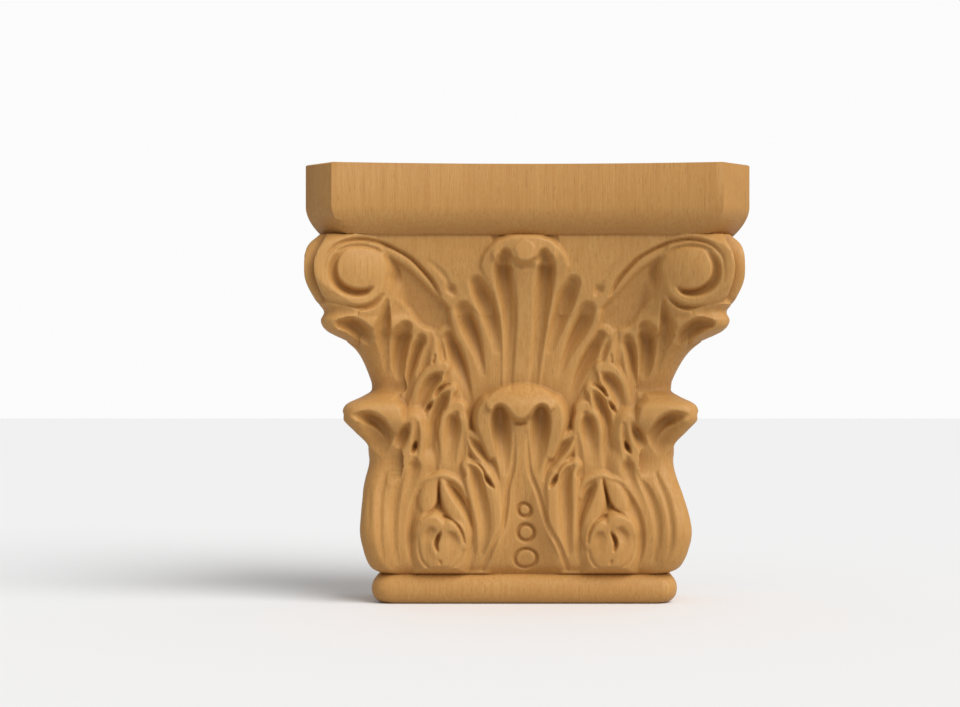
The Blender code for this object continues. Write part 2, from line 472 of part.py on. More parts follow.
def sections():
    """Every section of the block from foot to top, as (height, half outline)."""
    sheet = carved_sheet()
    part = share_out()
    neck_depth = NECK_WIDTH / 2 - WIDTH / 2 + DEPTH
    stack = []
    for turn in np.linspace(-1, 1, ASTRAGAL_CUTS)[:-1]:
        z = ASTRAGAL_HEIGHT * (1 + np.sin(turn * np.pi / 2)) / 2
        stand = ASTRAGAL_NOSE * np.cos(turn * np.pi / 2) - ASTRAGAL_SET_IN
        x, y = round_section(NECK_WIDTH / 2 + stand, neck_depth + stand)
        stack.append((z, (x, y, ASTRAGAL_DRIFT)))
    carved_height = HEIGHT - ASTRAGAL_HEIGHT - ABACUS_HEIGHT
    for up in np.linspace(0, 100, round(carved_height / CUT_STEP)):
        x, y = bell_section(sheet, up)
        drift = part * float(profile(SIDE_DRIFT, up))
        stack.append((ASTRAGAL_HEIGHT + carved_height * up / 100, (x, y, drift)))
    abacus_foot = HEIGHT - ABACUS_HEIGHT
    for drop in np.linspace(1, 0, OVOLO_CUTS):
        z = abacus_foot + OVOLO_HEIGHT * (1 - drop)
        stack.append((z, abacus_section(OVOLO_REACH * drop ** 2)))
    stack.append((HEIGHT, abacus_section(0)))
    return stack


def ring_of(section):
    """Full outline from the wall at the left, round the front, to the wall at the right."""
    x, y = section[0], section[1]
    drift = section[2] if len(section) > 2 else 0.0
    xs = np.concatenate([-x[:0:-1], x]) + drift
    ys = np.concatenate([y[:0:-1], y])
    return xs, ys


def square_up(mesh):
    """Brings corners that thinning left a hair off the back, foot, top and sides back onto them."""
    flats = ((0, -WIDTH / 2), (0, WIDTH / 2), (1, -DEPTH / 2), (1, DEPTH / 2), (2, 0.0), (2, HEIGHT))
    for vertex in mesh.vertices:
        for axis, flat in flats:
            if abs(vertex.co[axis] - flat) < THINNING_DRIFT:
                vertex.co[axis] = flat


def build_capital(collection):
    """Lofts the sections into one closed block with a flat back, top and foot."""
    stack = sections()
    outlines = [ring_of(section) for _, section in stack]
    columns = len(outlines[0][0])
    block = bmesh.new()
    bmesh.ops.create_grid(block, x_segments=columns - 1, y_segments=len(stack) - 1, size=1)
    block.verts.ensure_lookup_table()
    rows = [block.verts[i * columns:(i + 1) * columns] for i in range(len(stack))]
    for (z, _), (xs, ys), row in zip(stack, outlines, rows):
        for x, y, vert in zip(xs, ys, row):
            vert.co = (x, DEPTH / 2 - y, z)
    block.faces.new(rows[0])
    block.faces.new(rows[-1])
    block.faces.new([row[0] for row in rows] + [row[-1] for row in reversed(rows)])
    bmesh.ops.recalc_face_normals(block, faces=block.faces)
    bmesh.ops.triangulate(block, faces=block.faces)
    mesh = bpy.data.meshes.new("capital")
    block.to_mesh(mesh)
    block.free()
    mesh.shade_smooth()
    mesh.set_sharp_from_angle(angle=np.radians(50))
    capital = bpy.data.objects.new("capital", mesh)
    collection.objects.link(capital)
    thin = capital.modifiers.new("Facets", "DECIMATE")
    thin.ratio = FACETS / len(mesh.polygons)
    settled = capital.evaluated_get(bpy.context.evaluated_depsgraph_get())
    capital.data = bpy.data.meshes.new_from_object(settled)
    capital.data.name = "capital"
    capital.modifiers.clear()
    square_up(capital.data)
    capital.data.materials.append(carved_wood())
    return capital


def carved_wood():
    """Pale honey hardwood, sanded and lightly sealed."""
    wood = bpy.data.materials.new("Carved wood")
    wood.use_nodes = True
    surface = wood.node_tree.nodes["Principled BSDF"]
    surface.inputs["Base Color"].default_value = (0.52, 0.27, 0.095, 1)
    surface.inputs["Roughness"].default_value = 0.55
    surface.inputs["Metallic"].default_value = 0.0
    return wood


for old in list(bpy.data.objects):
    bpy.data.objects.remove(old)
parts = bpy.data.collections.new("Corinthian capital")
bpy.context.scene.collection.children.link(parts)
build_capital(parts)
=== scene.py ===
import math

import bpy
import numpy as np
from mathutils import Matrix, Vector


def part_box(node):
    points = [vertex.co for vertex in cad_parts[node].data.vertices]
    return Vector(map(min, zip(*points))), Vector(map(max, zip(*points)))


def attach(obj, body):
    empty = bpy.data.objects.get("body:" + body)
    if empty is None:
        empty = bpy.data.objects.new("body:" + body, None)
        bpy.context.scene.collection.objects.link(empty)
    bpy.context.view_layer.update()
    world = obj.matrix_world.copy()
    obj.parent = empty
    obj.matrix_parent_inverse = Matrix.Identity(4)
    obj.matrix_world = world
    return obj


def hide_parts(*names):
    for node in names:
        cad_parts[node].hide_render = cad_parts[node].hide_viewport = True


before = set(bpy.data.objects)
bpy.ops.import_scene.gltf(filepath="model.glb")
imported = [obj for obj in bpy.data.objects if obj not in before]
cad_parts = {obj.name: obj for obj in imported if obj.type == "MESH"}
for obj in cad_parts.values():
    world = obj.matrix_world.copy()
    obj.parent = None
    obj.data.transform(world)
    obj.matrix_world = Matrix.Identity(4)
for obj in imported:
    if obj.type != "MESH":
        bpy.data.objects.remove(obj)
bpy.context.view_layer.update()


# The block
# One piece of pale hardwood, sawn with the grain upright and left flat at the back. The abacus,
# leaves, volutes and astragal are all cut out of it with gouges, so no part is glued or pinned on.
block_low, block_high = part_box("capital")
WIDTH = block_high.x - block_low.x
DEPTH = block_high.y - block_low.y
HEIGHT = block_high.z - block_low.z
WALL = block_high.y
ABACUS_HEIGHT = 0.0189
ASTRAGAL_HEIGHT = 0.0082
NECK_WIDTH = 0.0816
NECK_DEPTH = NECK_WIDTH / 2 - WIDTH / 2 + DEPTH
CORNER_ROUND = 0.0050
CARVED_HEIGHT = HEIGHT - ASTRAGAL_HEIGHT - ABACUS_HEIGHT


# The bell
# The body behind the leaves, turned out like an upside-down bell. It is left rough until the
# leaves are set in, then cleaned back between them. Its front corners carry the deepest wood.

# The carving is drawn on half of the front laid flat, in hundredths of its height. A row of an
# outline is (out from the centre line, up), a row of a profile is (up, value), and a row of a cut
# or a strap is (out, up, half width, depth or height). Heights are measured from the neck.
HUNDREDTH = CARVED_HEIGHT / 100
NECK_OUT = NECK_WIDTH / 2 / HUNDREDTH
LAST_OUT = 66.0
SHEET_STEP = 0.25
STRAP_REACH = 10
GOUGE_REACH = 4


def smooth_path(rows, pieces=12):
    """Smooth curve through every row of a drawing, with its widths and heights."""
    rows = np.array(rows, float)
    ends = np.vstack([2 * rows[0] - rows[1], rows, 2 * rows[-1] - rows[-2]])
    t = np.linspace(0, 1, pieces, endpoint=False)[:, None]
    runs = []
    for a, b, c, d in zip(ends, ends[1:], ends[2:], ends[3:]):
        bend = (2 * a - 5 * b + 4 * c - d) * t ** 2 + (3 * b - a - 3 * c + d) * t ** 3
        runs.append(b + 0.5 * ((c - a) * t + bend))
    return np.vstack(runs + [rows[-1:]])


def profile(rows, up):
    """Value of a profile drawn as (up, value) rows."""
    path = smooth_path(rows)
    return np.interp(up, path[:, 0], path[:, 1])


def joined(lower, upper, soft):
    """The higher of two surfaces, with a soft inner corner."""
    share = np.clip(0.5 + 0.5 * (lower - upper) / soft, 0, 1)
    return upper + (lower - upper) * share + soft * share * (1 - share)


class Sheet:
    """Half of the carved front laid flat: the height of the wood at each place on it."""

    def __init__(self, bell, overhang):
        outs = np.arange(0, LAST_OUT + SHEET_STEP, SHEET_STEP)
        ups = np.arange(0, 100 + SHEET_STEP, SHEET_STEP)
        self.out, self.up = np.meshgrid(outs, ups)
        self.height = profile(bell, self.up)
        self.overhang = profile(overhang, self.up)
        self.corner = NECK_OUT + self.overhang - CORNER_ROUND / HUNDREDTH

    def near(self, path, reach):
        """The part of the sheet within reach of a path."""
        low = np.maximum((path[:, :2].min(axis=0) - reach) / SHEET_STEP, 0).astype(int)
        high = np.maximum((path[:, :2].max(axis=0) + reach) / SHEET_STEP + 2, 0).astype(int)
        return slice(low[1], high[1]), slice(low[0], high[0])

    def along(self, path, spot):
        """Distance to the path, and the path's own numbers beside each place."""
        out, up = self.out[spot], self.up[spot]
        away = np.full(out.shape, np.inf)
        values = np.ones((path.shape[1] - 2,) + out.shape)
        for start, end in zip(path, path[1:]):
            run = end - start
            t = (out - start[0]) * run[0] + (up - start[1]) * run[1]
            t = np.clip(t / max(run[0] ** 2 + run[1] ** 2, 1e-9), 0, 1)
            gap = np.hypot(out - start[0] - t * run[0], up - start[1] - t * run[1])
            closer = gap < away
            away = np.where(closer, gap, away)
            values = np.where(closer, start[2:, None, None] + t * run[2:, None, None], values)
        return away, values

    def strap(self, rows, wall=0.8, soft=0.5, crown=0.0, ease=0.4):
        """Leaves a strap of wood standing along the drawn line, crowned, with eased edges."""
        path = smooth_path(rows)
        spot = self.near(path, STRAP_REACH)
        away, (half, level) = self.along(path, spot)
        over = np.maximum(away - half, 0)
        fall = (np.hypot(over, ease) - ease) / wall
        strap = level - crown * np.minimum(away / half, 1) ** 2 - fall
        self.height[spot] = joined(self.height[spot], strap, soft)

    def plate(self, outline, surface, wall=0.7, soft=0.4, ease=0.4):
        """Leaves a plate of wood standing inside an outline, up to the given surface."""
        ring = np.array(outline + outline[:1], float)
        away = np.full(self.out.shape, np.inf)
        inside = np.zeros(self.out.shape, bool)
        for start, end in zip(ring, ring[1:]):
            run = end - start
            t = (self.out - start[0]) * run[0] + (self.up - start[1]) * run[1]
            t = np.clip(t / (run @ run), 0, 1)
            gap = np.hypot(self.out - start[0] - t * run[0], self.up - start[1] - t * run[1])
            away = np.minimum(away, gap)
            if run[1]:
                beside = start[0] + run[0] * (self.up - start[1]) / run[1]
                inside ^= ((start[1] > self.up) != (end[1] > self.up)) & (self.out < beside)
        over = np.where(inside, 0, away)
        plate = surface - (np.hypot(over, ease) - ease) / wall
        self.height = joined(self.height, plate, soft)

    def gouge(self, strokes, sweep=1.4):
        """Cuts round-bottomed channels. Where two meet, the ridge between them is left."""
        depth = np.zeros(self.height.shape)
        for rows in strokes:
            path = smooth_path(rows)
            spot = self.near(path, GOUGE_REACH)
            away, (half, level) = self.along(path, spot)
            cut = level * (1 - np.clip(away / half, 0, 1) ** 2) ** sweep
            depth[spot] = np.maximum(depth[spot], cut)
        self.height -= depth

    def lean_in(self, slope):
        """Surface that starts at the front corner's overhang and falls towards the centre."""
        return self.overhang - slope * np.maximum(self.corner - self.out, 0)

    def softened(self, radius):
        """The heights with everything smaller than the radius evened out."""
        faded_out = 2.5 * radius
        reach = int(np.ceil(faded_out / SHEET_STEP))
        steps = np.arange(-reach, reach + 1) * SHEET_STEP / radius
        weights = np.exp(-0.5 * steps ** 2)
        weights /= weights.sum()
        soft = self.height
        for axis in (0, 1):
            padded = np.pad(soft, [(reach, reach) if axis == n else (0, 0) for n in (0, 1)], "edge")
            if axis == 1:
                padded[:, :reach] = soft[:, reach:0:-1]
            windows = np.lib.stride_tricks.sliding_window_view(padded, 2 * reach + 1, axis=axis)
            soft = windows @ weights
        return soft


OVERHANG = [
    (0, -0.6), (1.2, 1.7), (3, 3.2), (7, 4.7), (13.5, 5.7), (24, 4.1), (33, 1.9), (38, 3.0),
    (42.2, 6.1), (45, 8.3), (47.6, 9.0), (50.6, 8.0), (53.0, 3.6), (55.2, 1.1), (60, 2.4), (65.5, 5.2),
    (69, 8.8), (72.3, 14.6), (75, 16.0), (77.8, 15.2), (81, 17.4), (86, 19.7), (91, 20.4),
    (96.5, 19.3), (100, 16.3),
]
BELL = [(0, -1.0), (4, 2.2), (14, 3.4), (28, 2.6), (38, 1.8), (50, 1.2), (60, 1.8), (70, 3.6),
        (80, 6.2), (90, 9.0), (100, 11.2)]
ABACUS_HOLLOW = 0.0043
FLARE_FROM = 82
FLARE_OUT = 56
bell = Sheet(BELL, OVERHANG)
near_abacus = np.clip((bell.up - FLARE_FROM) / (100 - FLARE_FROM), 0, 1)
flare = ABACUS_HOLLOW / HUNDREDTH * (bell.out / FLARE_OUT) ** 2 * near_abacus
bell.height += flare


# The volutes
# Each springs from the bell as a ribbed stem, runs up under the abacus and winds round the
# corner to a domed eye. The channel round the eye is cut deepest at its lower outer side.
FIELD = [(76, 7.4), (84, 9.4), (90, 10.6), (96, 11.4), (100, 11.8)]
field_edge = [(10, 102), (10, 77), (20, 77), (21.8, 79.0), (23.2, 80.6), (24.6, 82.2), (25.6, 84.8),
              (27.0, 87.1), (28.8, 89.3), (31.7, 92.3), (33.7, 94.0), (36.2, 95.5), (38.7, 96.8),
              (41.2, 97.8), (44.2, 98.5), (47.5, 98.8), (51, 98.4), (54, 102)]
bell.plate(field_edge, profile(FIELD, bell.up) + flare, wall=0.4, soft=0.2)

# The face of the volute slopes in from its outer edge, and its flank stands a little behind it.
FACE_EDGE = 59.8
FACE_HEIGHT = 20.4
FACE_SLOPE = 0.34
FLANK_SLOPE = 0.5
FLANK_SET_BACK = 1.4
FLANK_BEND = 44
FLANK_BEND_SLOPE = 0.35
FLANK_FROM_OUT = 40
FLANK_FROM_UP = 76
NO_WOOD = -9
face = FACE_HEIGHT - FACE_SLOPE * (FACE_EDGE - bell.out)
behind_bend = FLANK_BEND_SLOPE * np.maximum(FLANK_BEND - bell.out, 0)
flank = bell.lean_in(FLANK_SLOPE) - FLANK_SET_BACK - behind_bend
flank = np.where((bell.up > FLANK_FROM_UP) & (bell.out > FLANK_FROM_OUT), flank, NO_WOOD)
bell.height = joined(bell.height, flank, 0.4)

# The round of the scroll falls off gently towards the centre line and steeply to the corner.
SCROLL_OUT = 48.2
SCROLL_UP = 90.2
SCROLL_INNER_HALF = 7.6
SCROLL_OUTER_HALF = 12.4
SCROLL_HALF_HEIGHT = 11.2
SCROLL_INNER_FALL = 5.2
SCROLL_OUTER_FALL = 18
SCROLL_SET_BACK = 0.2
inner = bell.out < SCROLL_OUT
around_eye = np.hypot((bell.out - SCROLL_OUT) / np.where(inner, SCROLL_INNER_HALF, SCROLL_OUTER_HALF),
                      (bell.up - SCROLL_UP) / SCROLL_HALF_HEIGHT)
falling = np.where(inner, SCROLL_INNER_FALL, SCROLL_OUTER_FALL) * np.maximum(around_eye - 1, 0)
bell.height = joined(bell.height, face - SCROLL_SET_BACK - falling, 0.8)
rib = [(25.1, 81.4, 0.3, 7.3), (26.2, 83.6, 0.6, 8.6), (28.0, 86.1, 0.8, 9.7), (30.0, 88.4, 0.9, 10.5),
       (32.4, 90.8, 0.95, 11.3), (35.0, 92.8, 1.0, 12.0), (38.2, 94.7, 1.0, 12.7),
       (41.5, 95.9, 1.0, 13.2), (45.0, 96.8, 0.9, 13.8), (48.5, 97.2, 0.85, 14.9),
       (51.5, 96.7, 0.8, 16.3), (54.0, 95.4, 0.75, 17.5), (55.7, 93.4, 0.65, 18.3),
       (56.5, 91.0, 0.6, 18.7), (56.6, 88.0, 0.4, 18.7)]
bell.strap(rib, wall=0.45, soft=0.3, crown=0.3)
bell.gouge([
    [(22.4, 86.6, 0.9, 0.3), (24.3, 89.2, 1.1, 0.5), (26.4, 91.2, 1.0, 0.3), (28.4, 92.6, 0.8, 0.1)],
    [(58.6, 79.6, 1.2, 0.5), (60.2, 82.6, 1.7, 1.6), (61.6, 86.4, 1.8, 2.0), (62.4, 91, 2.0, 2.0),
     (61.7, 95.4, 2.5, 1.8), (60.0, 98.4, 3.0, 1.5), (58.8, 100, 3.2, 1.0)],
    [(40.6, 93.6, 0.9, 0.4), (39.3, 91.6, 1.7, 1.2), (38.2, 89.3, 2.2, 1.7), (37.6, 86.8, 1.9, 1.0),
     (38.0, 84, 1.3, 0.2)],
])
EYE_OUT = 47.3
EYE_UP = 90.1
EYE_HALF_WIDTH = 7.3
EYE_HALF_HEIGHT = 6.2
EYE_PROUD = 0.8
EYE_DOME = 1.0
EYE_WALL = 9
eye = np.hypot((bell.out - EYE_OUT) / EYE_HALF_WIDTH, (bell.up - EYE_UP) / EYE_HALF_HEIGHT)
dome = face + EYE_PROUD - EYE_DOME * np.minimum(eye, 1) ** 2 - EYE_WALL * np.maximum(eye - 1, 0)
bell.height = joined(bell.height, dome, 0.2)
bell.gouge([
    [(51.6, 95.6, 0.4, 0.3), (53.0, 94.4, 0.7, 0.8), (54.5, 92.4, 1.1, 1.4), (55.2, 89.7, 1.4, 1.9),
     (54.7, 86.8, 1.5, 2.3), (53.1, 84.7, 1.5, 2.7), (51.0, 83.5, 1.4, 3.0), (48.6, 83.0, 1.3, 3.0),
     (46.2, 83.3, 1.1, 2.4), (44.4, 84.4, 0.7, 0.8)],
    [(53.6, 95.0, 0.6, 0.6), (50.6, 96.2, 0.6, 0.8), (47.2, 96.5, 0.6, 0.8), (43.8, 95.9, 0.6, 0.8),
     (41.4, 94.7, 0.6, 0.6)],
    [(58.2, 81.4, 0.6, 0.8), (55.4, 79.9, 0.9, 1.5), (52.0, 79.0, 1.0, 2.1), (48.0, 78.6, 1.0, 2.3),
     (45.0, 79.3, 1.0, 2.2), (43.0, 80.7, 0.9, 1.8), (41.2, 82.5, 0.6, 0.7)],
    [(22.6, 86.0, 0.9, 0.3), (21.7, 84.4, 1.6, 1.3), (20.9, 83.2, 1.1, 0.7)],
], sweep=1.0)


# The upper corner leaves
# One runs up each corner and folds over under the volute. The hollow under the fold is scooped
# out first, then three flutes are run down from the points of the leaf.
UPPER_LEAF_SLOPE = 0.47
LEAF_STEM_TOP = 56
LEAF_OVER_BELL = 0.9
LEAF_THICKNESS = 0.8
UPPER_FOLD_THICKNESS = 2.0
leaf = bell.lean_in(UPPER_LEAF_SLOPE)
bell.height = np.where(bell.up < LEAF_STEM_TOP, joined(bell.height, leaf, 0.4), bell.height)
points = [(70, 79.5), (56, 78.8), (50, 78.0), (45.5, 78.5), (42.6, 80.2), (40.6, 82.4), (38.4, 82.0),
          (36.4, 80.2), (34.5, 77.5), (33.1, 75.3), (31.4, 73.2), (29.9, 72.4), (28.3, 71.9),
          (29.2, 67.0), (30.4, 62.8), (31.9, 58.5), (33.4, 54.2), (34, 46), (70, 46)]
leaf_back = np.maximum(leaf, profile(BELL, bell.up) + LEAF_OVER_BELL)
bell.plate(points, leaf_back + LEAF_THICKNESS, wall=0.55, ease=0.7)
fold = [(60, 77.5), (55.5, 78.5), (50, 78.2), (45.8, 77.8), (43.4, 75.6), (44.4, 73.0),
        (46.4, 74.4), (48.5, 75.6), (51, 76.5), (54, 75.9), (56.6, 74.4), (61, 72.2)]
bell.plate(fold, leaf + UPPER_FOLD_THICKNESS, wall=0.35, soft=0.4)
bell.gouge([
    [(53.6, 74.0, 2.0, 3.4), (50.2, 73.4, 2.9, 4.8), (47.2, 71.0, 3.1, 4.2), (45.5, 66.4, 2.5, 2.2),
     (44.6, 59, 1.9, 1.1), (44.2, 52, 1.6, 0.2)],
    [(49.2, 71.2, 2.4, 1.4), (47.4, 69.4, 3.4, 2.6), (46.2, 65.6, 3.0, 1.9), (45.4, 60, 2.4, 0.8)],
])
bell.gouge([
    [(40.2, 80.8, 0.6, 1.0), (40.7, 77.6, 1.4, 2.2), (41.3, 73, 2.2, 3.0), (41.4, 68, 2.4, 2.7),
     (41.0, 61, 2.4, 1.8), (40.6, 53, 1.8, 0.5)],
    [(35.2, 73.2, 2.2, 2.6), (36.0, 71.4, 3.0, 3.2), (36.6, 68.0, 2.9, 3.2), (36.7, 63, 2.5, 2.6),
     (36.5, 57, 2.2, 1.7), (36.6, 50, 1.6, 0.5)],
    [(30.4, 69.8, 1.7, 1.8), (30.8, 67.6, 2.4, 2.8), (31.4, 64.6, 2.5, 3.0), (32.2, 61.0, 2.2, 2.5),
     (33.2, 56.5, 1.7, 1.6), (34.2, 50, 1.1, 0.5)],
], sweep=1.0)


# The palmette
# The upper middle leaf: seven fingers that spread from behind the lower leaf, each lapping over
# the next one out. A channel is cut close beside each lap, and the middle finger is folded over.
PALMETTE = [(40, 2.2), (52, 3.0), (60, 3.8), (70, 5.4), (80, 7.8), (88, 10.2), (94, 12.2),
            (100, 13.6)]


def upon(surface, rows):
    """Rows whose fourth number is measured from a general surface instead of from the neck."""
    return [(out, up, half, float(profile(surface, up)) + more) for out, up, half, more in rows]


for finger, channel in (
    ([(23.0, 71.2, 2.7, -0.4), (21.4, 68.8, 3.5, -0.4), (19.6, 65.4, 3.9, -0.4), (17.4, 60.5, 3.6, -0.3),
      (15.2, 54, 3.2, -0.3), (13.6, 45, 2.8, -0.5)],
     [(22.3, 70.6, 2.1, 1.9), (20.6, 68.0, 2.9, 2.7), (18.9, 64.8, 3.2, 2.6), (17.1, 61.0, 2.8, 1.9),
      (15.6, 57, 2.3, 1.0), (14.6, 53, 1.8, 0.2)]),
    ([(18.5, 78.8, 3.4, 0.6), (17.4, 76.4, 4.1, 0.3), (16.2, 73.0, 4.2, 0.0), (14.4, 69, 3.8, 0.0),
      (12.4, 62, 3.2, 0.1), (10.6, 50, 3.0, 0.0)],
     [(18.2, 78.4, 2.7, 2.3), (16.8, 75.8, 3.4, 3.1), (15.3, 72.6, 3.5, 2.9), (13.6, 68.8, 3.0, 2.2),
      (12.1, 65, 2.4, 1.4), (11.0, 60.5, 1.9, 0.4)]),
    ([(14.5, 87.2, 3.1, 0.4), (13.3, 84.2, 3.7, 0.2), (11.8, 80.0, 3.7, 0.1), (10.3, 75.6, 3.3, 0.2),
      (9.2, 70, 2.8, 0.3), (8.3, 62, 2.5, 0.3), (7.5, 50, 2.3, 0.1)],
     [(14.1, 86.2, 2.4, 2.2), (12.7, 83.2, 3.0, 3.3), (11.2, 79.6, 3.1, 3.1), (9.9, 75.8, 2.7, 2.4),
      (8.9, 71.8, 2.2, 1.5), (7.9, 67, 1.7, 0.5)]),
):
    bell.strap(upon(PALMETTE, finger), wall=0.4, soft=0.25, crown=0.2, ease=0.7)
    bell.gouge([channel], sweep=1.1)
middle_finger = [(-2, 99.4), (4.2, 98.8), (7.4, 97.6), (9.7, 95.9), (11.4, 93.6), (12.3, 91.0),
                 (11.3, 88.4), (9.9, 86.2), (8.8, 83.2), (8.0, 80), (7.1, 76.1), (6.4, 71), (5.8, 64),
                 (5.3, 54), (5, 46), (-2, 46)]
bell.plate(middle_finger, profile(PALMETTE, bell.up) + 0.6, wall=0.4, soft=0.25, ease=0.7)
bell.strap([(0, 95.3, 3.6, 14.6), (3.0, 95.5, 3.4, 14.3), (6.0, 95, 3.0, 13.6)], wall=0.6)
bell.gouge([
    [(5.6, 94.2, 1.9, 2.8), (6.1, 92.4, 2.7, 4.0), (6.2, 89.6, 3.0, 4.0), (5.8, 85.6, 2.9, 3.2),
     (5.2, 80.5, 2.5, 2.5), (4.7, 75, 2.1, 1.9), (4.3, 67, 1.7, 1.2), (4.1, 59, 1.4, 0.6),
     (4.0, 53, 1.2, 0.2)],
], sweep=1.1)
bell.strap([(0, 95.4, 2.7, 14.8), (0, 94.2, 2.0, 14.8)], wall=0.3, soft=0.2)
bell.gouge([
    [(-1, 90.9, 1.6, 2.0), (1.6, 91.2, 1.5, 2.2), (3.4, 92.6, 1.1, 2.0), (4.4, 94.0, 0.7, 1.0)],
])


# The side leaves
# A narrow leaf stands between each corner and the palmette. Its three lobes are scooped one above
# the other, and the hollows between them are drilled before they are pared.
SIDE_LEAF = [(30, 1.4), (40, 2.2), (50, 2.8), (60, 3.6), (72, 4.4)]
outline = [(28.0, 71.6), (26.6, 72.6), (25.0, 71.0), (24.0, 68), (23.0, 64), (22.4, 62.4),
           (20.9, 60.2), (19.8, 57.6), (18.5, 54.6), (17.2, 51.4), (16.2, 48), (15.6, 43), (15.5, 30),
           (36, 30), (35.2, 46), (33.3, 53.4), (32.6, 55.7), (31.7, 58.6), (30.8, 61.5),
           (29.9, 65.1), (28.7, 68.7)]
bell.plate(outline, profile(SIDE_LEAF, bell.up) + 0.4, wall=0.5)
blade = [(27.0, 71.6, 0.6, 0.8), (26.2, 68.4, 1.9, 1.2), (25.9, 65.0, 2.6, 1.6), (25.3, 62.6, 2.8, 1.7)]
bell.strap(upon(SIDE_LEAF, blade), wall=0.7, crown=1.6)
bell.gouge([
    [(32.0, 58.4, 0.9, 0.4), (33.0, 54.8, 1.1, 1.2), (34.2, 50, 0.9, 0.7)],
    [(28.2, 65.6, 1.2, 0.3), (28.9, 61.6, 1.3, 0.8), (30.2, 57, 1.1, 0.4)],
    [(24.7, 70.2, 0.9, 0.6), (24.1, 67.0, 1.2, 1.1), (23.5, 63.8, 0.9, 0.7)],
], sweep=1.1)
for side_lobe, scoop in (
    ([(23.2, 61.4, 1.2, 1.7), (25.0, 60.0, 2.6, 1.7), (27.0, 57.4, 3.0, 1.4), (28.8, 54.0, 2.8, 1.0),
      (30.2, 49.6, 2.2, 0.3)],
     [(23.8, 59.6, 0.9, 0.9), (25.0, 58.6, 1.9, 2.6), (26.8, 56.8, 2.3, 2.8), (28.4, 54.0, 2.0, 2.0),
      (29.6, 50.8, 1.5, 1.0), (30.6, 47, 1.1, 0.3)]),
    ([(20.4, 55.2, 0.9, 1.8), (21.9, 54.0, 1.8, 2.0), (23.6, 51.2, 2.8, 1.8), (25.0, 47.0, 2.9, 1.3),
      (26.4, 41.0, 2.5, 0.8), (27.6, 35, 2.0, 0.1)],
     [(21.6, 54.0, 0.9, 1.1), (22.7, 52.4, 1.8, 2.6), (24.1, 49.2, 2.1, 2.8), (25.3, 45.2, 1.9, 2.0),
      (26.2, 41, 1.5, 1.2), (27.0, 36.5, 1.2, 0.4)]),
    ([(18.6, 49.2, 2.0, 1.8), (19.4, 46.6, 3.4, 2.2), (20.0, 43.2, 4.1, 2.0), (20.2, 38, 4.1, 1.6),
      (20.4, 29, 3.8, 1.4)],
     [(19.2, 47.6, 1.2, 1.2), (19.8, 45.9, 2.3, 2.8), (20.2, 42.6, 2.7, 2.5), (20.7, 38.8, 2.4, 1.3),
      (21.0, 34.5, 2.0, 0.4)]),
):
    bell.strap(upon(SIDE_LEAF, side_lobe), wall=0.4, soft=0.2, ease=0.6)
    bell.gouge([scoop], sweep=1.1)
bell.gouge([
    [(23.8, 48.2, 0.5, 0.6), (24.3, 45.2, 0.6, 1.0), (24.8, 42.0, 0.6, 1.0), (24.5, 38.0, 0.6, 0.8),
     (24.3, 33.0, 0.5, 0.3)],
    [(28.2, 47.5, 0.9, 0.4), (28.9, 43, 1.2, 0.9), (28.6, 37, 1.0, 0.3)],
    [(16.6, 41.5, 0.9, 0.3), (17.2, 35, 1.3, 0.6), (18.0, 30, 1.1, 0.3)],
])


# The lower corner leaves
# They stand on the astragal and turn their tips out at the corners, about half way up. The long
# flutes below follow the swell of the leaf down to its foot.
LOWER_LEAVES = [(0, -0.6), (4, 2.5), (14, 4.0), (28, 3.4), (40, 3.7), (48, 5.0), (56, 6.5)]
LOWER_LEAF_SLOPE = 0.30
LOWER_LEAF_SET_BACK = 0.4
LOWER_FOLD_SLOPE = 0.16
LOWER_FOLD_THICKNESS = 0.5
body = joined(bell.lean_in(LOWER_LEAF_SLOPE), profile(LOWER_LEAVES, bell.up) - LOWER_LEAF_SET_BACK, 1.0)
outline = [(70, 53.2), (43.2, 53.2), (38.8, 52.4), (35.8, 50.0), (34.2, 47.6), (32.6, 47.4),
           (30.6, 47.0), (29.4, 45.0), (29.1, 41), (28.9, 36), (28.8, 30), (29.5, -1), (70, -1)]
bell.plate(outline, body, wall=0.5)
fold = [(62, 54.5), (43.0, 53.4), (38.8, 52.4), (35.8, 49.6), (34.9, 45.4), (36.5, 42.2),
        (37.9, 43.9), (39.4, 45.8), (41.2, 47.1), (43.6, 48.2), (46.6, 48.9), (49.4, 48.6),
        (51.4, 47.4), (62, 43)]
bell.plate(fold, bell.lean_in(LOWER_FOLD_SLOPE) + LOWER_FOLD_THICKNESS, wall=0.3, soft=0.4, ease=0.8)
bell.gouge([
    [(48.8, 47.4, 1.4, 1.4), (46.8, 47.0, 2.2, 3.2), (44.0, 46.1, 2.8, 4.7), (41.4, 44.2, 2.9, 3.9),
     (39.9, 41.0, 2.6, 2.2), (39.6, 37, 2.3, 1.2), (40.0, 30, 1.8, 0.2)],
    [(46.4, 45.0, 2.8, 1.4), (44.4, 43.4, 3.6, 2.4), (42.4, 40.8, 3.9, 2.5), (41.2, 37.0, 3.6, 1.5),
     (41.0, 32, 2.8, 0.3)],
])
upper_lobe = [(31.8, 45.4, 1.6, 1.2), (32.2, 42.2, 2.9, 1.2), (33.2, 38.0, 3.4, 0.8), (34.4, 33, 3.6, 0.4),
              (35.4, 28, 3.4, 0.0), (36.4, 22, 2.8, -0.4)]
bell.strap(upon(LOWER_LEAVES, upper_lobe), wall=0.9, soft=0.6, ease=0.8)
